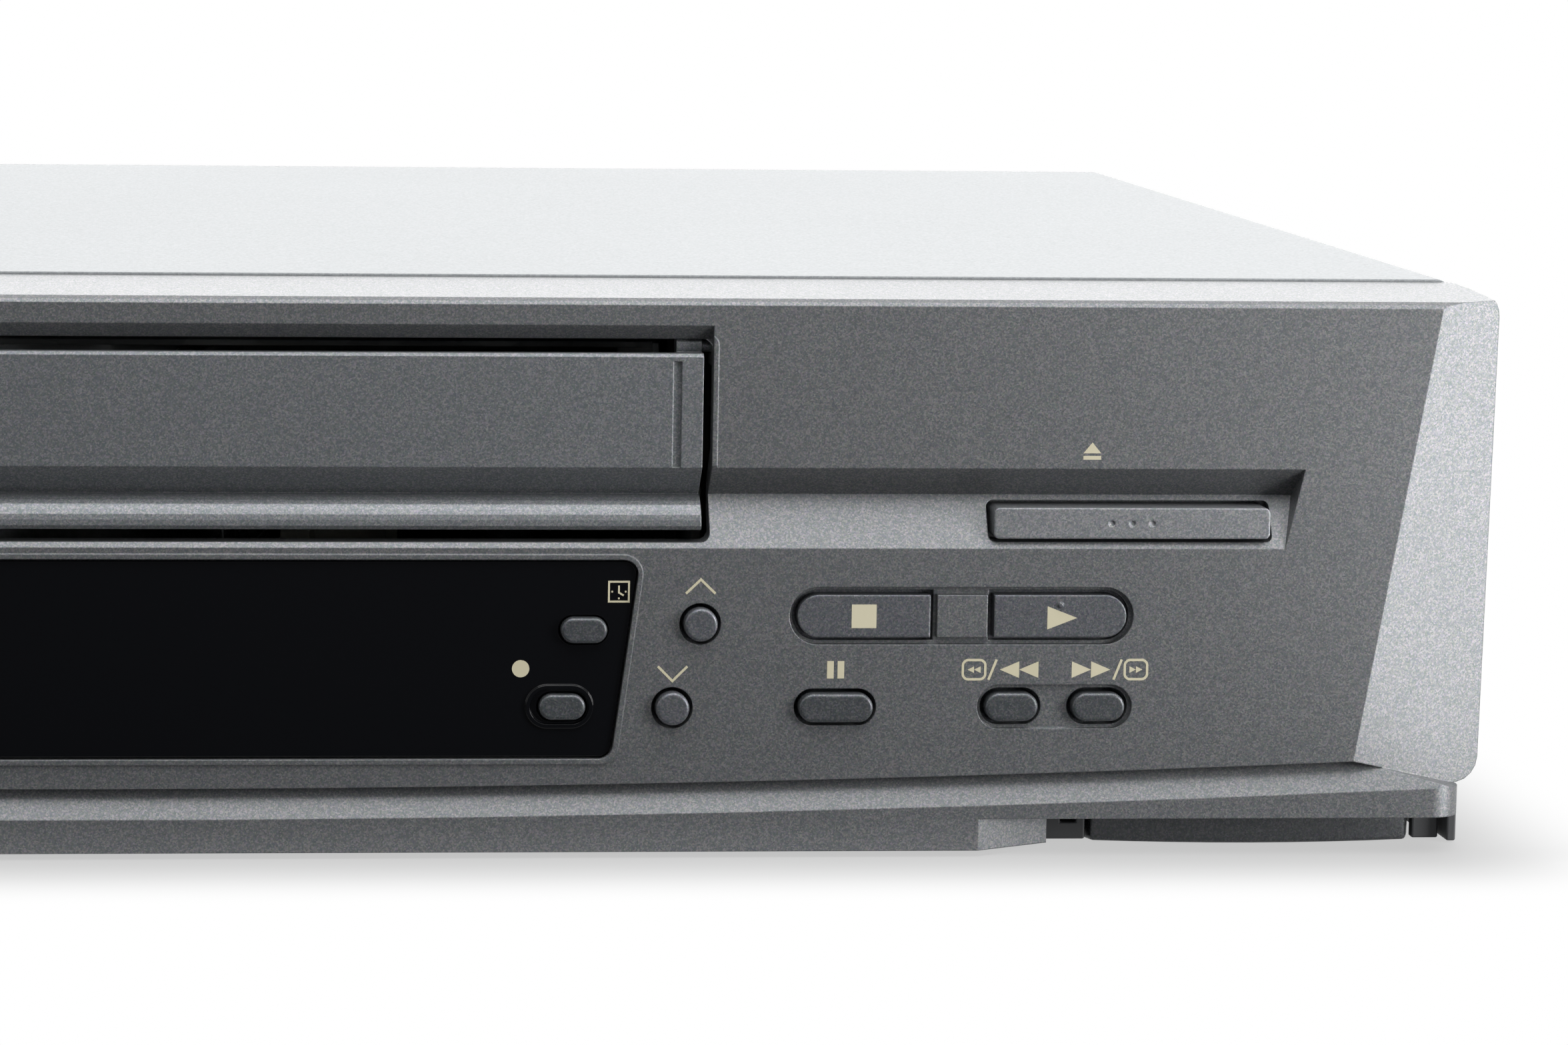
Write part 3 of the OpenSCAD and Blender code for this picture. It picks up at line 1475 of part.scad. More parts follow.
module cam_gear() {
    color(c_white) placed() difference() {
        union() {
            translate([slot_x + cam_place[0], cam_place[1], 26.2])
                rotate([0, 0, mesh_turn]) linear_extrude(height = 4)
                    polygon(gear_outline(cam_teeth, gear_slack));
            post(7, cam_place[0], cam_place[1], 26.2, 32);
        }
        post(cam_post_r + run_fit, cam_place[0], cam_place[1], 20, 35);
        // Curved cam slot in the upper face
        translate([slot_x + cam_place[0], cam_place[1], 29.2])
            rotate_extrude(angle = 250) translate([13, 0]) square([3, 3]);
    }
}

module motor_pinion() {
    color(c_white) placed() {
        translate([slot_x + pinion_place[0], pinion_place[1], 26.2])
            rotate([0, 0, mesh_turn + 180 + 180 / pinion_teeth]) linear_extrude(height = 5)
                polygon(gear_outline(pinion_teeth, gear_slack));
        post(1, pinion_place[0], pinion_place[1], 16, 26.3);
    }
}

module loading_motor() {
    color(c_steel) placed() difference() {
        post(11, pinion_place[0], pinion_place[1], board_top + 1, deck_z);
        post(1 + run_fit, pinion_place[0], pinion_place[1], 15, deck_z + cut);
    }
}

// Sliding pole base: a block on the deck, a keel in the slot, a roller guide and a slant pole
module pole_base(side) {
    z = deck_top + run_fit;
    color(c_steel) placed() translate([slot_x, 0, 0]) mirror([side < 0 ? 1 : 0, 0, 0])
        translate([track_start[0], track_start[1], 0]) rotate([0, 0, track_angle]) {
            block([-6, -5, z], [6, 5, z + 4]);
            block([-3, -keel_w / 2, deck_z - 0.9], [3, keel_w / 2, z + 0.1]);
            block([-3, -3.2, deck_z - 1.1], [3, 3.2, deck_z - 0.1]);
            translate([2, 0, z]) cylinder(r = 2.5, h = 22);
            translate([2, 0, z + 3]) cylinder(r = 3.2, h = 2.5);
            translate([2, 0, z + 19]) cylinder(r = 3.2, h = 1.5);
            translate([-3.5, 0, z + 3]) rotate([0, -8, 0]) cylinder(r = 1.2, h = 18);
        }
}

module pole_base_supply() { pole_base(-1); }

module pole_base_takeup() { pole_base(1); }

// SCREWS
// Pan-head screw with a cross in its head, standing on z = 0 with its shank below
module screw(shank) {
    difference() {
        union() {
            cylinder(r = screw_head_r, h = screw_head_h);
            translate([0, 0, -shank]) cylinder(r = screw_r, h = shank + 0.1);
        }
        for (a = [0, 90])
            rotate([0, 0, a]) translate([-2, -0.4, screw_head_h - 0.8]) cube([4, 0.8, 2]);
    }
}

module screws() {
    color(c_steel) placed() {
        for (side = [-1, 1])
            for (d = side_screw_d)
                translate([side * case_w / 2, d, side_screw_z])
                    rotate([0, side * 90, 0]) screw(2.6);
        for (x = rear_screw_x)
            translate([x, rear_d + rear_t, side_screw_z]) rotate([-90, 0, 0]) screw(2.8);
        for (side = [-1, 1])
            for (d = post_d)
                translate([slot_x + side * post_x, d, deck_top]) screw(6);
    }
}

front_panel();
cassette_flap();
flap_spring();
display_window();
display_module();
front_board();
push_switches();
button_eject();
button_stop();
button_play();
button_pause();
button_rewind();
button_forward();
button_channel_up();
button_channel_down();
button_record();
button_timer();
button_standby();
top_cover();
base_tray();
feet();
rear_panel();
tuner_box();
aerial_sockets();
scart_sockets();
phono_sockets();
mains_inlet();
main_board();
power_board();
transformer();
heat_sink();
capacitors();
deck_plate();
bracket_left();
bracket_right();
carriage_runner();
cassette_holder();
drum_base();
drum_lower();
drum_upper();
capstan_bearing();
capstan_flywheel();
drive_belt();
clutch_pulley();
idler_arm();
idler_wheel();
reel_supply();
reel_takeup();
pinch_arm();
pinch_roller();
tension_arm();
erase_head();
audio_head();
tape_guides();
loading_motor();
motor_pinion();
cam_gear();
pole_base_supply();
pole_base_takeup();
screws();
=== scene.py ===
# %% [markdown]
# # A video cassette recorder, dressed for its photograph
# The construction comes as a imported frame: every piece at its real size, in metres, with the
# front facing -Y and the table at Z = 0. The looks are built round it here, one finish and one
# small piece at a time. Nothing of the frame is moved, so all that is added takes its place
# from the boxes of the pieces that carry it.

# %% Load the frame
import math

import bmesh
import bpy
from mathutils import Matrix, Vector


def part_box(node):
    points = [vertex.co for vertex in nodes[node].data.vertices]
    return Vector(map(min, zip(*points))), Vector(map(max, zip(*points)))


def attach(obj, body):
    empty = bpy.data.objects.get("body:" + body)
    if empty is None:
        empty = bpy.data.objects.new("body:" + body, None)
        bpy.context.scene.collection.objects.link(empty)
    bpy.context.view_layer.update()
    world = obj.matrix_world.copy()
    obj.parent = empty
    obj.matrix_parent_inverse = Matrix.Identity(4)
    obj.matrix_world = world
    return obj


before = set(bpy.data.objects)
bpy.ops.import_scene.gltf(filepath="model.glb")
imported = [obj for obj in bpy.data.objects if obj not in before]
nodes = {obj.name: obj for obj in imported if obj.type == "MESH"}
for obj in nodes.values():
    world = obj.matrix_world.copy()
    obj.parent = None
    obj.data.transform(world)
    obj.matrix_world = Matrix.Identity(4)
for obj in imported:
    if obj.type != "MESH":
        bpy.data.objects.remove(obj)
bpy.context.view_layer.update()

# %% [markdown]
# ## Units and helpers
# Sizes are easier to think of in millimetres, so one function turns them to metres. Colours
# are written as the sRGB hex values that a painter would pick, and one function turns them to
# the linear values that the renderer works in.


# %% Units, colours and one node helper
def mm(value):
    """Millimetres to metres."""
    return value / 1000


def per_metre(size_mm):
    """Pattern scale for a texture whose cells measure size_mm."""
    return 1000 / size_mm


def linear(hex_colour):
    """An sRGB hex colour as linear red, green, blue and alpha."""
    parts = [int(hex_colour[i:i + 2], 16) / 255 for i in (1, 3, 5)]
    return [c / 12.92 if c <= 0.04045 else ((c + 0.055) / 1.055) ** 2.4 for c in parts] + [1]


def add(tree, kind, inputs=None, stops=None, **settings):
    """Adds a node. An input is a value, or a pair of a node and the name of its output."""
    new = tree.nodes.new("ShaderNode" + kind)
    for name, value in settings.items():
        setattr(new, name, value)
    for name, value in (inputs or {}).items():
        if isinstance(value, tuple) and isinstance(value[0], bpy.types.Node):
            tree.links.new(value[0].outputs[value[1]], new.inputs[name])
        else:
            new.inputs[name].default_value = value
    for i, (place, colour) in enumerate(stops or []):
        element = new.color_ramp.elements[i] if i < 2 else new.color_ramp.elements.new(place)
        element.position = place
        element.color = linear(colour)
    return new


def finish_named(name, **sockets):
    """A material with one main shader. Constant values sit on the shader's own sockets."""
    material = bpy.data.materials.new(name)
    material.use_nodes = True
    tree = material.node_tree
    shader = tree.nodes["Principled BSDF"]
    for socket, value in sockets.items():
        shader.inputs[socket.replace("_", " ")].default_value = value
    return material, tree, shader


front_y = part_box("front_panel")[0].y + mm(0.35)
print("front plane at y =", round(front_y, 5))

# %% [markdown]
# ## Camera
# The photograph is a crop of the right half of a straight view. The lines that run back meet
# far above the upper left corner, which puts the lens in front of the machine's middle, some
# 0.72 m away and 0.15 m over the table. Turning the camera to the right and down, with a small
# shift, frames the same part of the machine and keeps the other views well framed too.

# %% Camera
PICTURE_W = 2352  # the photograph's width in pixels
LENS_PX = 7056  # the focal length in those pixels
SENSOR = 36  # mm
SHIFT_X, SHIFT_Y = 0.20, -0.12  # in widths of the picture
YAW, PITCH, ROLL = 4.39, 5.628, 0.704  # degrees
LENS_SIDE, LENS_AHEAD, LENS_UP = -0.8, 715.8, 152.5  # mm from the middle, the front, the table

camera_data = bpy.data.cameras.new("camera")
camera = bpy.data.objects.new("camera", camera_data)
bpy.context.scene.collection.objects.link(camera)
bpy.context.scene.camera = camera
camera_data.sensor_width = SENSOR
camera_data.lens = LENS_PX / PICTURE_W * SENSOR
camera_data.shift_x = SHIFT_X
camera_data.shift_y = SHIFT_Y
camera_data.clip_start = 0.01
camera_data.clip_end = 50
yaw, pitch, roll = math.radians(YAW), math.radians(PITCH), math.radians(ROLL)
camera.location = (mm(LENS_SIDE), front_y - mm(LENS_AHEAD), mm(LENS_UP))
camera.rotation_mode = "QUATERNION"
look = Vector((math.sin(yaw) * math.cos(pitch), math.cos(yaw) * math.cos(pitch),
               -math.sin(pitch)))
camera.rotation_quaternion = (look.to_track_quat("-Z", "Y").to_matrix()
                              @ Matrix.Rotation(roll, 3, "Z")).to_quaternion()
print("focal length in mm:", round(camera_data.lens, 1))

# %% [markdown]
# ## Soft boxes and room light
# The machine was cut out on white, over a short soft shadow. A large soft box hangs above and
# in front, and a smaller one stands low on the right, which is what the turned facet catches.
# A wide one high behind the machine lights the back, and grazes the cover. The room is white
# to the eye and to mirrors alone: a switch on the kind of ray picks the white, so that the
# white adds no light to the object.


# %% Lamps and the room
def soft_box(name, place, target, width, height, radiance):
    """A lamp as a rectangle that faces its target. radiance is how bright its face is."""
    data = bpy.data.lights.new(name, "AREA")
    data.shape = "RECTANGLE"
    data.size, data.size_y = width, height
    data.energy = radiance * math.pi * width * height
    lamp = bpy.data.objects.new(name, data)
    lamp.location = place
    lamp.rotation_mode = "QUATERNION"
    lamp.rotation_quaternion = (Vector(target) - Vector(place)).to_track_quat("-Z", "Y")
    lamp.visible_camera = False
    bpy.context.scene.collection.objects.link(lamp)
    return lamp


def to_the_eye(tree):
    """1 for rays of the camera, of mirrors and of clear glass, and 0 for all others."""
    path = add(tree, "LightPath")
    seen = add(tree, "Math", {0: (path, "Is Camera Ray"), 1: (path, "Is Glossy Ray")},
               operation="MAXIMUM")
    return add(tree, "Math", {0: (seen, 0), 1: (path, "Is Transmission Ray")},
               operation="MAXIMUM")


soft_box("top_box", (0.25, -0.62, 1.18), (0.05, -0.13, 0.03), 1.5, 0.9, 4.0)
soft_box("right_box", (0.89, -0.64, 0.20), (0.21, -0.14, 0.04), 0.34, 0.39, 16.0)
soft_box("left_box", (-1.4, -0.8, 0.5), (-0.1, -0.1, 0.05), 0.8, 0.9, 0.3)
soft_box("back_box", (0.1, 1.3, 0.80), (0.05, 0.0, 0.09), 2.2, 1.3, 2.6)

world = bpy.data.worlds.new("studio")
bpy.context.scene.world = world
world.use_nodes = True
tree = world.node_tree
tree.nodes.clear()
room = add(tree, "Background", {"Color": linear("#9FA2A6"), "Strength": 0.3})
white = add(tree, "Background", {"Color": linear("#FFFFFF"), "Strength": 1.0})
mix = add(tree, "MixShader", {0: (to_the_eye(tree), 0), 1: (room, 0), 2: (white, 0)})
add(tree, "OutputWorld", {"Surface": (mix, 0)})

# %% [markdown]
# ## White floor
# The floor glows white for the eye and for mirrors, and is grey paper for the light. Close round
# the machine less of the glow is mixed in, by distance alone, which paints a shadow there on top
# of the real soft shadow that the paper catches. The share grows with the distance from the
# machine's outline. Under the machine there is no glow at all, or the underside would mirror it.

# %% Floor
FLOOR_REACH = 6  # metres each way
OUTLINE = (0.205, 0.140, 0)  # half the width and half the depth of the shadow's core
# The glow thins towards this outline by distance alone, which paints a shadow round the machine
PAINTED_SHADOW_REACH = mm(40)
PAINTED_SHADOW_SHARE = 0.53  # share of the glow right at the outline
UNDER_FROM, UNDER_TO = mm(-12), mm(-8)  # inside the outline, where the glow begins


def sheet(name, corners, material):
    """A flat piece of the studio, which isn't part of the machine."""
    mesh = bpy.data.meshes.new(name)
    mesh.from_pydata(corners, [], [(0, 1, 2, 3)])
    mesh.materials.append(material)
    piece = bpy.data.objects.new(name, mesh)
    bpy.context.scene.collection.objects.link(piece)
    return piece


paper, tree, shader = finish_named("matte_white_paper", Roughness=0.9)
where = add(tree, "TexCoord")
grain = add(tree, "TexNoise", {"Vector": (where, "Object"), "Scale": per_metre(40),
                               "Detail": 3.0})
tint = add(tree, "ValToRGB", {"Fac": (grain, 0)}, stops=[(0.3, "#6C6C6C"), (0.7, "#727272")])
tree.links.new(tint.outputs[0], shader.inputs["Base Color"])
# How far a point lies from the outline
away = add(tree, "VectorMath", {0: (where, "Object")}, operation="ABSOLUTE")
past = add(tree, "VectorMath", {0: (away, 0), 1: OUTLINE}, operation="SUBTRACT")
beyond = add(tree, "VectorMath", {0: (past, 0), 1: (0, 0, 0)}, operation="MAXIMUM")
distance = add(tree, "VectorMath", {0: (beyond, 0)}, operation="LENGTH")
# Painted shadow: the glow share drops towards the outline by distance, whatever the light
painted_shadow_fade = add(tree, "MapRange", {"Value": (distance, "Value"), "From Max": PAINTED_SHADOW_REACH,
                              "To Min": PAINTED_SHADOW_SHARE, "To Max": 1.0},
           interpolation_type="SMOOTHERSTEP")
# No glow under the machine itself
along = add(tree, "SeparateXYZ", {"Vector": (past, 0)})
inward = add(tree, "Math", {0: (along, "X"), 1: (along, "Y")}, operation="MAXIMUM")
clear = add(tree, "MapRange", {"Value": (inward, 0), "From Min": UNDER_FROM,
                               "From Max": UNDER_TO})
edge = add(tree, "Math", {0: (painted_shadow_fade, 0), 1: (clear, 0)}, operation="MULTIPLY")
share = add(tree, "Math", {0: (edge, 0), 1: (to_the_eye(tree), 0)}, operation="MULTIPLY")
glow = add(tree, "Emission", {"Color": linear("#FFFFFF"), "Strength": 1.0})
mix = add(tree, "MixShader", {0: (share, 0), 1: (shader, 0), 2: (glow, 0)})
tree.links.new(mix.outputs[0], tree.nodes["Material Output"].inputs["Surface"])
floor = sheet("floor", [(x * FLOOR_REACH, y * FLOOR_REACH, 0)
                        for x, y in ((-1, -1), (1, -1), (1, 1), (-1, 1))], paper)
print("floor:", floor.name, "of", 2 * FLOOR_REACH, "m")

# %% [markdown]
# ## Cards
# Photographers lay cards round a glossy object to shape what it mirrors. Two black ones lie
# and stand in front, out of the picture, so that the front and its polished window stay dark.
# A glowing one lies at the right. It is no lamp, and only puts a painted reflection on the
# turned facet from below. They are seen by mirrors alone and cast no shadow.

# %% Black cards and a glowing card
CARD_GLOW = 5.0

card, tree, shader = finish_named("black_flock_card", Roughness=1.0)
where = add(tree, "TexCoord")
nap = add(tree, "TexNoise", {"Vector": (where, "Object"), "Scale": per_metre(8)})
tint = add(tree, "ValToRGB", {"Fac": (nap, 0)}, stops=[(0.3, "#0C0C0D"), (0.7, "#131314")])
tree.links.new(tint.outputs[0], shader.inputs["Base Color"])

# No lamp: this card gives off light of its own and only mirrors see it, so it is a painted
# reflection on the turned facet
glow_card, tree, shader = finish_named("glowing_reflection_card", Roughness=0.8)
where = add(tree, "TexCoord")
cloud = add(tree, "TexNoise", {"Vector": (where, "Object"), "Scale": per_metre(60)})
tint = add(tree, "ValToRGB", {"Fac": (cloud, 0)}, stops=[(0.3, "#F4F4F2"), (0.7, "#FFFFFF")])
tree.links.new(tint.outputs[0], shader.inputs["Emission Color"])
shader.inputs["Emission Strength"].default_value = CARD_GLOW

cards = (
    ("lying_card", card, [(-1.5, -0.62, 0.001), (0.30, -0.62, 0.001), (0.30, -0.158, 0.001),
                          (-1.5, -0.158, 0.001)]),
    ("standing_card", card, [(-1.5, -1.6, 0), (0.6, -1.6, 0), (0.6, -1.6, 1.1),
                             (-1.5, -1.6, 1.1)]),
    ("lying_glowing_card", glow_card, [(0.225, -0.15, 0.002), (0.26, -0.25, 0.002),
                                   (0.75, -0.78, 0.002), (1.0, -0.42, 0.002)]))
for name, material, corners in cards:
    board = sheet(name, corners, material)
    board.visible_camera = board.visible_diffuse = board.visible_shadow = False
bpy.context.scene.view_settings.view_transform = "Standard"
print("cards:", [name for name, material, corners in cards])

# %% [markdown]
# ## Moulded metallic plastic
# The front, the flap, the keys and the feet are ABS with fine aluminium flake in the resin. The
# eye sees a dark, slightly cool grey that is grainy close up, and that brightens quickly
# where a face turns to a lamp. A Voronoi pattern gives each flake a brightness and a faint
# hue of its own. The real flakes measure under 0.1 mm, which is too fine to show, so they are
# drawn 0.22 mm wide. A bevel node bends the normal at each edge by its real radius, so that
# the edges of the keys and the flap catch light without a change of the mesh. The small keys are
# the same plastic, made darker to paint the shade of the deeper wells they sit in. The flap, the
# eject bar and the feet are mouldings of their own, so each has its own tone.


# %% Metallic plastic
FLAKE_MM = 0.22
SPARK_MM = 0.25
CLOUD_MM = 25


def moulded_flake_plastic(name, dark, middle, light, roughness, edge_mm):
    """ABS with flakes in three tones, and edges that are rounded by edge_mm."""
    material, tree, shader = finish_named(name, Metallic=0.5, IOR=1.54)
    where = add(tree, "TexCoord")
    flakes = add(tree, "TexVoronoi", {"Vector": (where, "Object"), "Scale": per_metre(FLAKE_MM)})
    value = add(tree, "SeparateColor", {"Color": (flakes, "Color")})
    tone = add(tree, "ValToRGB", {"Fac": (value, "Red")},
               stops=[(0.0, dark), (1.0, light), (0.55, middle)])
    hue = add(tree, "MixRGB", {"Fac": 0.10, "Color1": (tone, "Color"),
                               "Color2": (flakes, "Color")}, blend_type="SOFT_LIGHT")
    cloud = add(tree, "TexNoise", {"Vector": (where, "Object"), "Scale": per_metre(CLOUD_MM),
                                   "Detail": 3.0})
    shade = add(tree, "MapRange", {"Value": (cloud, 0), "To Min": 0.95, "To Max": 1.05})
    even = add(tree, "VectorMath", {0: (hue, "Color"), "Scale": (shade, 0)},
               operation="SCALE")
    tree.links.new(even.outputs[0], shader.inputs["Base Color"])
    rough = add(tree, "MapRange", {"Value": (value, "Green"), "To Min": roughness - 0.05,
                                   "To Max": roughness + 0.07})
    tree.links.new(rough.outputs[0], shader.inputs["Roughness"])
    spark = add(tree, "TexNoise", {"Vector": (where, "Object"), "Scale": per_metre(SPARK_MM),
                                   "Detail": 2.0})
    edge = add(tree, "Bevel", {"Radius": mm(edge_mm)}, samples=6)
    bump = add(tree, "Bump", {"Height": (spark, 0), "Strength": 0.4, "Distance": mm(0.02),
                              "Normal": (edge, 0)})
    tree.links.new(bump.outputs[0], shader.inputs["Normal"])
    return material


flake_shades = (
    ("moulded_metallic_abs", "#5E6062", "#6A6C6E", "#7D7F81", 0.42, 0.25),
    ("moulded_key_abs", "#585A5E", "#63656A", "#74767B", 0.38, 0.4),
    # The small keys: the same plastic, darker, as a painted shade of their deep wells
    ("small_key_abs_painted_well_shade", "#484B4E", "#525558", "#63666A", 0.38, 0.4),
    ("moulded_flap_abs", "#646769", "#717477", "#85888B", 0.42, 0.25),
    ("moulded_eject_abs", "#747679", "#838588", "#96989B", 0.40, 0.45),
    ("moulded_foot_abs", "#3C3E40", "#454749", "#54575A", 0.30, 0.6))
(panel_plastic, key_plastic, well_shade_key_plastic, flap_plastic, eject_plastic,
 foot_plastic) = [moulded_flake_plastic(*shade) for shade in flake_shades]
print("made", [shade[0] for shade in flake_shades])

# %% [markdown]
# ## Polished window
# The display window is smoked acrylic, polished so that it mirrors the room. Behind it all is
# dark, so it reads as deep black. A few specks of dust and hairline scratches keep it real.
# The specks come from a Voronoi distance that is cut off very low, and a second random value
# keeps only one cell in ten.

# %% Smoked acrylic
DUST_CELL_MM = 6
DUST_RARE = 0.90  # cells whose random value is under this stay clean
DUST_SIZE = 0.035  # in widths of a cell

window_acrylic, tree, shader = finish_named("polished_smoked_acrylic", IOR=1.49)
shader.inputs["Specular IOR Level"].default_value = 0.3
where = add(tree, "TexCoord")
cells = add(tree, "TexVoronoi", {"Vector": (where, "Object"), "Scale": per_metre(DUST_CELL_MM)})
chance = add(tree, "SeparateColor", {"Color": (cells, "Color")})
rare = add(tree, "Math", {0: (chance, "Blue"), 1: DUST_RARE}, operation="GREATER_THAN")
near = add(tree, "Math", {0: (cells, "Distance"), 1: DUST_SIZE}, operation="LESS_THAN")
speck = add(tree, "Math", {0: (rare, 0), 1: (near, 0)}, operation="MULTIPLY")
colour = add(tree, "MixRGB", {"Fac": (speck, 0), "Color1": linear("#0A0B0E"),
                              "Color2": linear("#8E9196")})
tree.links.new(colour.outputs[0], shader.inputs["Base Color"])
smear = add(tree, "TexNoise", {"Vector": (where, "Object"), "Scale": per_metre(18),
                               "Detail": 4.0})
haze = add(tree, "MapRange", {"Value": (smear, 0), "To Min": 0.04, "To Max": 0.09})
dull = add(tree, "Math", {0: (haze, 0), 1: (speck, 0)}, operation="MAXIMUM")
tree.links.new(dull.outputs[0], shader.inputs["Roughness"])
print("made", window_acrylic.name)

# %% [markdown]
# ## Painted steel sheet
# The cover is folded steel with a fine-textured silver-grey paint. Seen almost edge-on it
# mirrors what stands behind it, so it looks white in the photograph, and grey from elsewhere.
# The texture is a low bump of 0.5 mm orange peel, with a slow change of tone from the spray.

# %% Cover paint
PEEL_MM = 0.5
PAINT_FLAKE_MM = 0.35

cover_paint, tree, shader = finish_named("sprayed_silver_paint", Metallic=0.0, IOR=1.5)
shader.inputs["Specular IOR Level"].default_value = 0.32
where = add(tree, "TexCoord")
flakes = add(tree, "TexVoronoi", {"Vector": (where, "Object"),
                                  "Scale": per_metre(PAINT_FLAKE_MM)})
value = add(tree, "SeparateColor", {"Color": (flakes, "Color")})
tone = add(tree, "ValToRGB", {"Fac": (value, "Red")}, stops=[(0.0, "#85888A"), (1.0, "#9A9D9F")])
cloud = add(tree, "TexNoise", {"Vector": (where, "Object"), "Scale": per_metre(60)})
shade = add(tree, "MapRange", {"Value": (cloud, 0), "To Min": 0.96, "To Max": 1.04})
even = add(tree, "VectorMath", {0: (tone, "Color"), "Scale": (shade, 0)}, operation="SCALE")
tree.links.new(even.outputs[0], shader.inputs["Base Color"])
peel = add(tree, "TexNoise", {"Vector": (where, "Object"), "Scale": per_metre(PEEL_MM)})
rough = add(tree, "MapRange", {"Value": (peel, 0), "To Min": 0.46, "To Max": 0.56})
tree.links.new(rough.outputs[0], shader.inputs["Roughness"])
bump = add(tree, "Bump", {"Height": (peel, 0), "Strength": 0.3, "Distance": mm(0.02)})
tree.links.new(bump.outputs[0], shader.inputs["Normal"])
print("made", cover_paint.name)

# %% [markdown]
# ## Plain mouldings
# The base, the sockets, the feet, the gears and the rollers are plain injection mouldings.
# They differ in colour, gloss and grain. Dark polystyrene has an eroded texture of about
# 0.4 mm, acetal is waxy and smooth, and rubber is dull. One recipe with a noise for tone and
# a noise for grain serves them all.


# %% Mouldings, rubber and print
def moulding(name, dark, light, roughness, grain_mm, depth_mm, ior=1.5):
    material, tree, shader = finish_named(name, IOR=ior)
    where = add(tree, "TexCoord")
    cloud = add(tree, "TexNoise", {"Vector": (where, "Object"), "Scale": per_metre(14),
                                   "Detail": 4.0})
    tone = add(tree, "ValToRGB", {"Fac": (cloud, 0)}, stops=[(0.3, dark), (0.7, light)])
    tree.links.new(tone.outputs[0], shader.inputs["Base Color"])
    grain = add(tree, "TexNoise", {"Vector": (where, "Object"), "Scale": per_metre(grain_mm),
                                   "Detail": 2.0})
    rough = add(tree, "MapRange", {"Value": (grain, 0), "To Min": roughness - 0.06,
                                   "To Max": roughness + 0.06})
    tree.links.new(rough.outputs[0], shader.inputs["Roughness"])
    bump = add(tree, "Bump", {"Height": (grain, 0), "Strength": 0.5,
                              "Distance": mm(depth_mm)})
    tree.links.new(bump.outputs[0], shader.inputs["Normal"])
    return material


base_plastic = moulding("eroded_dark_polystyrene", "#3A3B3D", "#434446", 0.55, 0.4, 0.04)
black_plastic = moulding("moulded_black_pbt", "#141415", "#1D1D1F", 0.4, 0.4, 0.02)
white_plastic = moulding("natural_acetal", "#DAD7CB", "#E8E6DD", 0.32, 0.8, 0.01, 1.48)
belt_rubber = moulding("ground_black_rubber", "#131313", "#1F1F1F", 0.7, 0.25, 0.03)
print_ink = moulding("screen_printed_ink", "#C4BDA0", "#CFC8AE", 0.6, 0.3, 0.01)
print("mouldings:", base_plastic.name, black_plastic.name, white_plastic.name)

# %% [markdown]
# ## Metals
# Zinc plate on the inner sheets shows large soft crystals. Turned aluminium has rings round
# its axis. The real ones are some 0.1 mm apart, too fine to show, so they are drawn 2.5 mm
# apart. Ground steel is streaked, and nickel is bright and warm. Each metal keeps the default
# index, because its colour already says how it mirrors.


# %% Sheet, turned and ground metals
CRYSTAL_MM = 9
RING_MM = 2.513
WAVE_TURN = 2 * math.pi / 20  # the wave texture repeats after this many units


def zinc_sheet_metal():
    material, tree, shader = finish_named("zinc_plated_sheet", Metallic=1.0)
    where = add(tree, "TexCoord")
    crystals = add(tree, "TexVoronoi", {"Vector": (where, "Object"),
                                        "Scale": per_metre(CRYSTAL_MM)})
    value = add(tree, "SeparateColor", {"Color": (crystals, "Color")})
    tone = add(tree, "ValToRGB", {"Fac": (value, "Red")},
               stops=[(0.0, "#A9ACAD"), (1.0, "#C2C5C5")])
    tree.links.new(tone.outputs[0], shader.inputs["Base Color"])
    rough = add(tree, "MapRange", {"Value": (value, "Green"), "To Min": 0.3, "To Max": 0.45})
    tree.links.new(rough.outputs[0], shader.inputs["Roughness"])
    return material


def turned_aluminium(name, axis_x, axis_y):
    material, tree, shader = finish_named(name, Metallic=1.0)
    where = add(tree, "TexCoord")
    centre = add(tree, "Mapping", {"Vector": (where, "Object"),
                                   "Location": (-axis_x, -axis_y, 0)})
    rings = add(tree, "TexWave", {"Vector": (centre, 0), "Scale": per_metre(RING_MM) * WAVE_TURN,
                                  "Distortion": 0.4}, wave_type="RINGS", rings_direction="Z")
    tone = add(tree, "ValToRGB", {"Fac": (rings, "Fac")},
               stops=[(0.0, "#BFC1C2"), (1.0, "#D4D6D7")])
    tree.links.new(tone.outputs[0], shader.inputs["Base Color"])
    rough = add(tree, "MapRange", {"Value": (rings, "Fac"), "To Min": 0.22, "To Max": 0.32})
    tree.links.new(rough.outputs[0], shader.inputs["Roughness"])
    bump = add(tree, "Bump", {"Height": (rings, "Fac"), "Strength": 0.2,
                              "Distance": mm(0.01)})
    tree.links.new(bump.outputs[0], shader.inputs["Normal"])
    return material


def streaked_metal(name, dark, light, roughness, streak):
    material, tree, shader = finish_named(name, Metallic=1.0)
    where = add(tree, "TexCoord")
    stretch = add(tree, "Mapping", {"Vector": (where, "Object"), "Scale": streak})
    noise = add(tree, "TexNoise", {"Vector": (stretch, 0), "Scale": per_metre(1),
                                   "Detail": 4.0})
    tone = add(tree, "ValToRGB", {"Fac": (noise, 0)}, stops=[(0.3, dark), (0.7, light)])
    tree.links.new(tone.outputs[0], shader.inputs["Base Color"])
    rough = add(tree, "MapRange", {"Value": (noise, 0), "To Min": roughness - 0.05,
                                   "To Max": roughness + 0.08})
    tree.links.new(rough.outputs[0], shader.inputs["Roughness"])
    return material


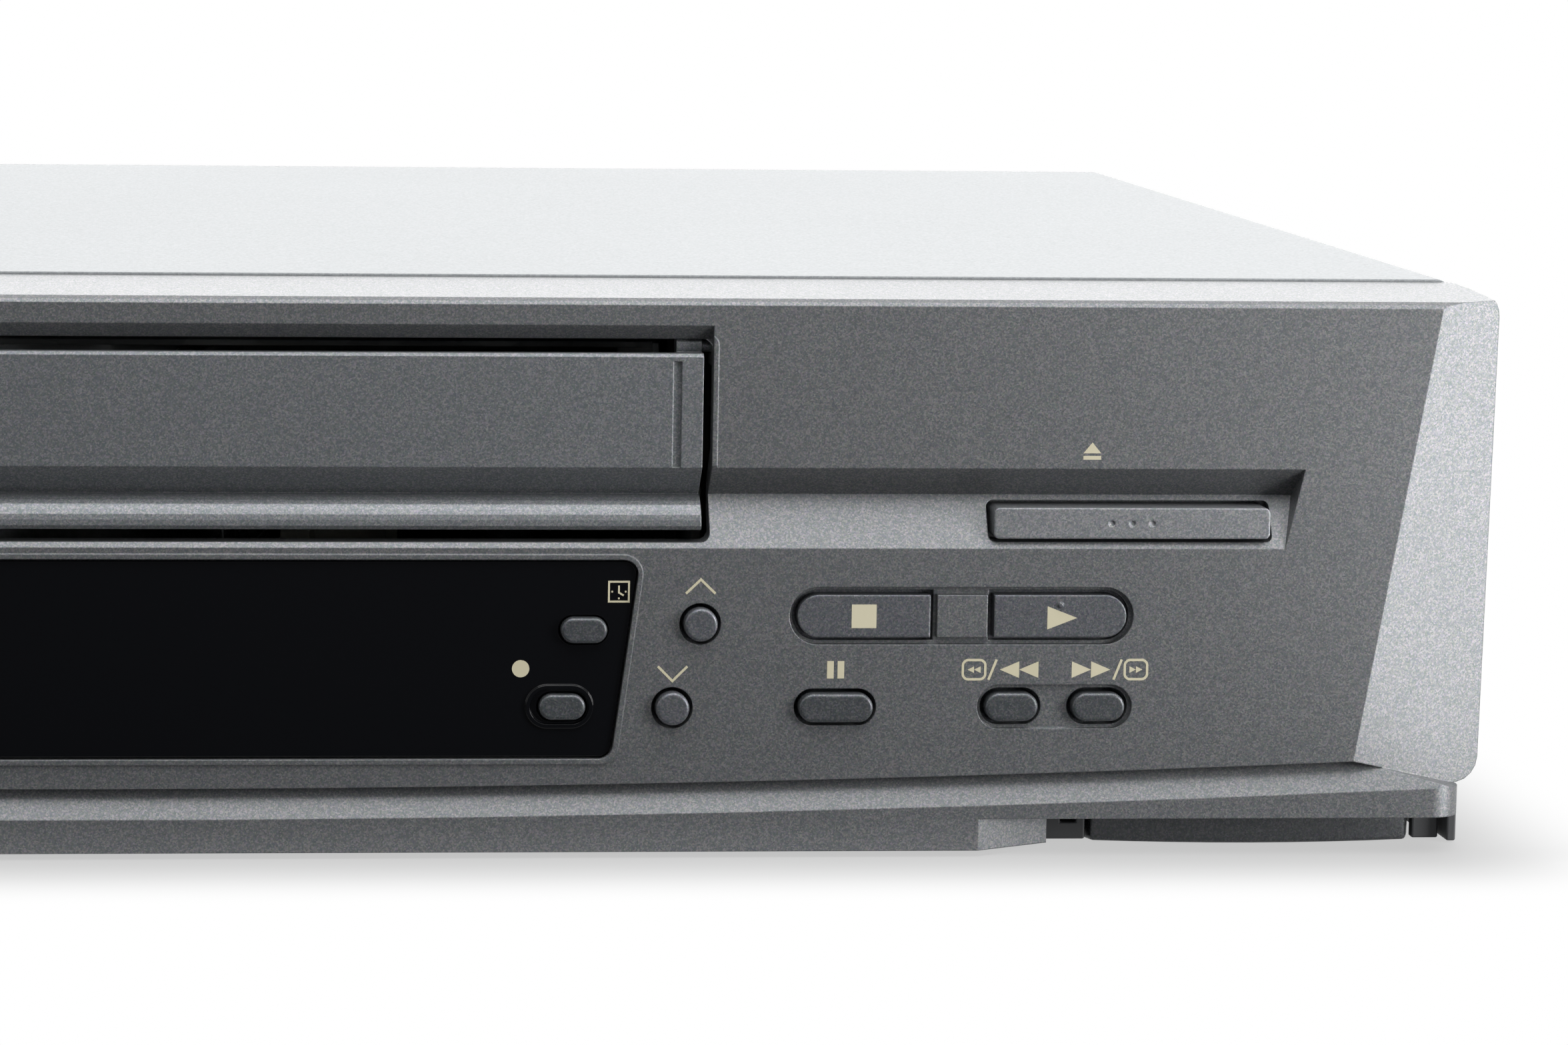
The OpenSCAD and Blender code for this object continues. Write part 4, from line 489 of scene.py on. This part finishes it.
drum_low, drum_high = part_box("drum_upper")
drum_x, drum_y = (drum_low.x + drum_high.x) / 2, (drum_low.y + drum_high.y) / 2
zinc_sheet = zinc_sheet_metal()
drum_aluminium = turned_aluminium("turned_aluminium", drum_x, drum_y)
cast_aluminium = streaked_metal("cast_aluminium", "#A9ABAC", "#BDBFC0", 0.42, (1, 1, 1))
ground_steel = streaked_metal("ground_steel", "#A8AAAC", "#C1C3C5", 0.24, (1, 1, 0.05))
nickel_plate = streaked_metal("nickel_plate", "#C4BEB0", "#D2CCBE", 0.16, (1, 1, 0.2))
black_iron = streaked_metal("varnished_core_iron", "#3F3B36", "#57514A", 0.42, (1, 0.03, 1))
print("metals:", zinc_sheet.name, drum_aluminium.name, ground_steel.name)

# %% [markdown]
# ## Boards, cans and glass
# The circuit boards are brown paper laminate. Its top shows the paper's mottle and pale
# printed marks, drawn as small pads. The capacitors wear a blue shrink sleeve
# with a pale stripe, and the display is a flat grey-green tube.


# %% Electronics
PAD_CELL_MM = 5
PAD_SIZE = 0.16  # in widths of a cell


def paper_laminate():
    material, tree, shader = finish_named("paper_laminate_board", IOR=1.55)
    where = add(tree, "TexCoord")
    fibre = add(tree, "TexNoise", {"Vector": (where, "Object"), "Scale": per_metre(3),
                                   "Detail": 6.0})
    tone = add(tree, "ValToRGB", {"Fac": (fibre, 0)}, stops=[(0.3, "#8A6534"), (0.7, "#A17C46")])
    pads = add(tree, "TexVoronoi", {"Vector": (where, "Object"),
                                    "Scale": per_metre(PAD_CELL_MM)})
    near = add(tree, "Math", {0: (pads, "Distance"), 1: PAD_SIZE}, operation="LESS_THAN")
    colour = add(tree, "MixRGB", {"Fac": (near, 0), "Color1": (tone, "Color"),
                                  "Color2": linear("#BDBBB4")})
    tree.links.new(colour.outputs[0], shader.inputs["Base Color"])
    rough = add(tree, "MapRange", {"Value": (fibre, 0), "To Min": 0.4, "To Max": 0.6})
    tree.links.new(rough.outputs[0], shader.inputs["Roughness"])
    return material


laminate = paper_laminate()
sleeve = moulding("blue_shrink_sleeve", "#1B2C52", "#233763", 0.28, 1.5, 0.01)
display_glass = moulding("display_tube_glass", "#2A3633", "#35433F", 0.12, 3, 0.002, 1.52)
print("electronics:", laminate.name, sleeve.name, display_glass.name)

# %% [markdown]
# ## Dressing the frame's pieces
# Moulded and folded pieces never have knife edges. A bevel modifier rounds each hard edge by
# its real radius, so that it catches a line of light, as the edges in the photograph do. The
# mesh itself stays as it came: the modifiers weld its doubled points, join the triangles of
# each flat face, round the edges and keep the flat faces flat. The front panel, the flap, the
# eject bar and the two large keys do without modifiers, because the bevel node in their
# plastic is enough. The panel's rim is also a face with one large hole, which would be closed
# when its triangles are joined.


# %% Edges
WELD_MM = 0.004  # points nearer than this are one
FLAT_DEG = 0.6  # triangles that turn by less than this are one face
EDGE_DEG = 32  # an edge that turns by more than this is rounded


def dress(names, material, edge_mm=0.0, segments=2):
    """Gives the named pieces a finish and, where edge_mm isn't 0, rounded edges."""
    for name in names:
        piece = nodes[name]
        piece.data.materials.clear()
        piece.data.materials.append(material)
        if not edge_mm:
            continue
        weld = piece.modifiers.new("weld", "WELD")
        weld.merge_threshold = mm(WELD_MM)
        flat = piece.modifiers.new("one_face_each", "DECIMATE")
        flat.decimate_type = "DISSOLVE"
        flat.angle_limit = math.radians(FLAT_DEG)
        bevel = piece.modifiers.new("edges", "BEVEL")
        bevel.width = mm(edge_mm)
        bevel.segments = segments
        bevel.limit_method = "ANGLE"
        bevel.angle_limit = math.radians(EDGE_DEG)
        bevel.use_clamp_overlap = False
        bevel.harden_normals = True
        keep = piece.modifiers.new("flat", "WEIGHTED_NORMAL")
        keep.keep_sharp = True
        keep.weight = 100


print("edges over", EDGE_DEG, "degrees are rounded")

# %% [markdown]
# ## A finish for each piece
# Each group of pieces gets its real material. The radius is what the piece's own making gives:
# some 0.15 mm on cut sheet, 0.2 to 0.6 mm on mouldings. Turned and ground pieces keep their
# sharp edges.

# %% Finishes
big_keys = ["button_stop", "button_play"]
round_keys = ["button_channel_up", "button_channel_down"]
small_keys = [name for name in nodes if name.startswith("button_")
              and name not in big_keys + round_keys + ["button_eject"]]
dress(["front_panel"], panel_plastic)
dress(["cassette_flap"], flap_plastic)
dress(["button_eject"], eject_plastic)
dress(big_keys, key_plastic)
dress(round_keys, key_plastic, 0.5, 3)
# The small keys get the darker plastic, a painted shade of their wells
dress(small_keys, well_shade_key_plastic, 0.5, 3)
dress(["display_window"], window_acrylic, 0.15)
dress(["top_cover"], cover_paint, 0.2)
dress(["base_tray"], base_plastic, 0.3)
dress(["feet"], foot_plastic, 0.6, 3)
dress(["rear_panel", "deck_plate", "bracket_left", "bracket_right", "tuner_box",
       "cassette_holder", "pinch_arm"], zinc_sheet, 0.15)
dress(["tension_arm"], zinc_sheet)
dress(["aerial_sockets"], nickel_plate, 0.2)
dress(["scart_sockets", "phono_sockets", "mains_inlet", "push_switches", "idler_arm",
       "carriage_runner"], black_plastic, 0.2)
dress(["main_board", "power_board", "front_board"], laminate)
dress(["transformer"], black_iron, 0.2)
dress(["heat_sink", "capstan_bearing", "drum_base"], cast_aluminium, 0.2)
dress(["capacitors"], sleeve, 0.4)
dress(["drum_lower", "drum_upper"], drum_aluminium, 0.2)
dress(["capstan_flywheel", "erase_head", "audio_head", "tape_guides", "loading_motor",
       "screws", "pole_base_supply", "pole_base_takeup", "flap_spring"], ground_steel)
dress(["drive_belt", "idler_wheel", "pinch_roller"], belt_rubber)
dress(["clutch_pulley", "reel_supply", "reel_takeup", "motor_pinion", "cam_gear"],
      white_plastic)
dress(["display_module"], display_glass)
plain = [name for name, piece in nodes.items() if not piece.data.materials]
print("pieces left without a finish:", plain)

# %% [markdown]
# ## Printed signs
# The signs are screen-printed in a warm pale ink. A texture could draw them, but ink has an
# edge and a thickness, and a mesh keeps that edge crisp at any distance. Each sign is a flat
# outline that is extruded by 0.03 mm and rides on the piece it is printed on.

# %% Print tools
INK = mm(0.03)
LINE = mm(0.38)


def square_points(x, z, w, h):
    """Corners of an upright rectangle round its middle."""
    return [(x - w / 2, z - h / 2), (x + w / 2, z - h / 2), (x + w / 2, z + h / 2),
            (x - w / 2, z + h / 2)]


def triangle_points(x, z, w, h, way):
    """A triangle whose point looks to the right if way is 1, and to the left if it is -1."""
    return [(x - way * w / 2, z - h / 2), (x + way * w / 2, z), (x - way * w / 2, z + h / 2)]


def circle_points(x, z, r, count=40):
    turns = [2 * math.pi * i / count for i in range(count)]
    return [(x + r * math.cos(a), z + r * math.sin(a)) for a in turns]


def ribbon(points, width, closed=False):
    """Quads along a line of the given width, mitred at its corners."""
    sides = []
    count = len(points)
    for i, p in enumerate(points):
        before = Vector(points[i - 1] if i or closed else p)
        after = Vector(points[(i + 1) % count] if i + 1 < count or closed else p)
        here = Vector(p)
        ways = [v.normalized() for v in (here - before, after - here) if v.length > 0]
        normals = [Vector((-w.y, w.x)) for w in ways]
        middle = sum(normals, Vector((0, 0))).normalized()
        reach = width / 2 / max(middle.dot(normals[0]), 0.3)
        sides.append((here + middle * reach, here - middle * reach))
    last = count if closed else count - 1
    return [[sides[i][1], sides[(i + 1) % count][1], sides[(i + 1) % count][0], sides[i][0]]
            for i in range(last)]


def printed(name, outlines, y, body, material=print_ink, thick=INK):
    """A flat print made of outlines in width and height, standing out of the face at y."""
    bm = bmesh.new()
    for outline in outlines:
        bm.faces.new([bm.verts.new((p[0], y + thick / 2, p[1])) for p in outline])
    bmesh.ops.remove_doubles(bm, verts=bm.verts, dist=mm(0.002))
    bmesh.ops.recalc_face_normals(bm, faces=bm.faces)
    grown = bmesh.ops.extrude_face_region(bm, geom=bm.faces[:])
    moved = [v for v in grown["geom"] if isinstance(v, bmesh.types.BMVert)]
    bmesh.ops.translate(bm, verts=moved, vec=(0, -1.5 * thick, 0))
    bmesh.ops.recalc_face_normals(bm, faces=bm.faces)
    mesh = bpy.data.meshes.new(name)
    bm.to_mesh(mesh)
    bm.free()
    mesh.materials.append(material)
    piece = bpy.data.objects.new(name, mesh)
    bpy.context.scene.collection.objects.link(piece)
    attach(piece, body)
    return piece


def middle_of(name):
    low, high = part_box(name)
    return (low + high) / 2


print("line width in mm:", LINE * 1000)

# %% [markdown]
# ## Signs for stop, play and pause
# The first two sit on the keys themselves, so they ride on the keys and travel with them. The
# pause sign stands on the panel over its key. Widths and heights are in millimetres.

# %% Stop, play and pause
STOP_W, STOP_H = 3.9, 3.7
PLAY_W, PLAY_H = 4.7, 3.65
PLAY_RIGHT, PLAY_DROP = 0.3, 0.25  # from the key's middle
BAR_W, BAR_H, BAR_OUT = 1.05, 2.75, 0.82
SIGN_ROW = 29.65  # height of the row of signs over the table

stop, play, pause = (middle_of("button_" + n) for n in ("stop", "play", "pause"))
key_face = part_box("button_stop")[0].y
printed("sign_stop", [square_points(stop.x, stop.z, mm(STOP_W), mm(STOP_H))], key_face,
        "button_stop")
printed("sign_play", [triangle_points(play.x + mm(PLAY_RIGHT), play.z - mm(PLAY_DROP),
                                      mm(PLAY_W), mm(PLAY_H), 1)], key_face, "button_play")
sign_z = mm(SIGN_ROW)
printed("sign_pause", [square_points(pause.x + side * mm(BAR_OUT), sign_z, mm(BAR_W), mm(BAR_H))
                       for side in (-1, 1)], front_y, "chassis")
print("stop sign at", [round(v, 4) for v in stop])

# %% [markdown]
# ## Signs for rewind and fast forward
# Each pair of triangles has a slash and a small screen beside it, which stands for winding
# with a picture. The screen's sides bulge a little, like a television's. One function makes
# a sign, and its mirror image serves the other key.


# %% Winding signs
BULGE = 0.06  # of the screen's half width
ARROW_W, ARROW_H = 3.05, 2.6
SLASH_OUT, SLASH_LEAN, SLASH_UP = 4.2, 0.62, 1.6
SCREEN_OUT, SCREEN_W, SCREEN_H, SCREEN_R = 7.1, 3.6, 3.1, 0.75
SMALL_W, SMALL_H = 1.04, 1.05


def screen_points(x, z, w, h, r):
    """A rounded screen outline whose sides bulge slightly."""
    points = []
    for cx, cz, start in ((1, 1, 0), (-1, 1, 90), (-1, -1, 180), (1, -1, 270)):
        for i in range(6):
            a = math.radians(start + 90 * i / 5)
            px, pz = cx * (w / 2 - r) + r * math.cos(a), cz * (h / 2 - r) + r * math.sin(a)
            points.append((x + px * (1 - BULGE * (2 * pz / h) ** 2),
                           z + pz * (1 - BULGE * (2 * px / w) ** 2)))
    return points


def winding_sign(name, x, way):
    """The sign over a winding key. x is where the two triangles meet."""
    shapes = [triangle_points(x + side * mm(ARROW_W) / 2, sign_z, mm(ARROW_W), mm(ARROW_H), way)
              for side in (-1, 1)]
    slash, lean, rise = x + way * mm(SLASH_OUT), mm(SLASH_LEAN), mm(SLASH_UP)
    shapes += ribbon([(slash - lean, sign_z - rise), (slash + lean, sign_z + rise)], LINE)
    screen = x + way * mm(SCREEN_OUT)
    shapes += ribbon(screen_points(screen, sign_z, mm(SCREEN_W), mm(SCREEN_H), mm(SCREEN_R)),
                     LINE, True)
    shapes += [triangle_points(screen + side * mm(SMALL_W) / 2, sign_z, mm(SMALL_W),
                               mm(SMALL_H), way) for side in (-1, 1)]
    return printed(name, shapes, front_y, "chassis")


REWIND_RIGHT, FORWARD_LEFT = 1.15, 1.2  # from the keys' middles

rewind, forward = middle_of("button_rewind"), middle_of("button_forward")
winding_sign("sign_rewind", rewind.x + mm(REWIND_RIGHT), -1)
winding_sign("sign_forward", forward.x - mm(FORWARD_LEFT), 1)
print("winding signs at height", sign_z)

# %% [markdown]
# ## Signs for channels, record, timer and eject
# The chevrons are open lines. The record dot and the clock are printed on the window, and the
# eject sign stands over its bar.

# %% Chevrons and the record dot
CHEVRON_OUT = 2.3
UP_LOW, UP_TIP = 41.6, 43.8  # heights over the table
DOWN_HIGH, DOWN_TIP = 30.2, 27.9
WINDOW_IN = 0.3  # the window's face lies this far behind the front
RECORD_X, RECORD_Z, RECORD_R = 62.6, 29.8, 1.35


def chevron(name, x, ends_z, tip_z):
    """An open arrow head on the panel, whose tip is over or under its two ends."""
    printed(name, ribbon([(x - mm(CHEVRON_OUT), mm(ends_z)), (x, mm(tip_z)),
                          (x + mm(CHEVRON_OUT), mm(ends_z))], LINE), front_y, "chassis")


chevron("sign_up", middle_of("button_channel_up").x, UP_LOW, UP_TIP)
chevron("sign_down", middle_of("button_channel_down").x, DOWN_HIGH, DOWN_TIP)
window_y = front_y + mm(WINDOW_IN)
printed("sign_record", [circle_points(mm(RECORD_X), mm(RECORD_Z), mm(RECORD_R))], window_y,
        "chassis")
print("record dot at", RECORD_X, RECORD_Z, "mm")

# %% Clock and eject signs
CLOCK_X, CLOCK_Z, CLOCK_W = 77.7, 41.85, 3.1
CASE_LINE, HAND_LINE, MARK_W, MARK_OUT = 0.3, 0.28, 0.26, 1.05
MARK_TURNS = (0, 180, 270)  # the long hand stands in the fourth mark's place
EJECT_X, EJECT_Z, EJECT_OUT, EJECT_TIP = 151.25, 64.0, 1.4, 1.35
EJECT_FOOT, EJECT_BAR_Z, EJECT_BAR_H = -0.35, -1.05, 0.6

clock_x, clock_z = mm(CLOCK_X), mm(CLOCK_Z)
clock = ribbon(square_points(clock_x, clock_z, mm(CLOCK_W), mm(CLOCK_W)), mm(CASE_LINE), True)
clock += ribbon([(clock_x, clock_z + mm(0.95)), (clock_x, clock_z - mm(0.15)),
                 (clock_x + mm(0.75), clock_z - mm(0.6))], mm(HAND_LINE))
for turn in MARK_TURNS:
    a = math.radians(turn)
    clock.append(square_points(clock_x + mm(MARK_OUT) * math.cos(a),
                               clock_z + mm(MARK_OUT) * math.sin(a), mm(MARK_W), mm(MARK_W)))
printed("sign_clock", clock, window_y, "chassis")
eject_x, eject_z = mm(EJECT_X), mm(EJECT_Z)
arrow = [(eject_x - mm(EJECT_OUT), eject_z + mm(EJECT_FOOT)),
         (eject_x + mm(EJECT_OUT), eject_z + mm(EJECT_FOOT)),
         (eject_x, eject_z + mm(EJECT_TIP))]
bar = square_points(eject_x, eject_z + mm(EJECT_BAR_Z), mm(2 * EJECT_OUT), mm(EJECT_BAR_H))
printed("sign_eject", [arrow, bar], front_y, "chassis")
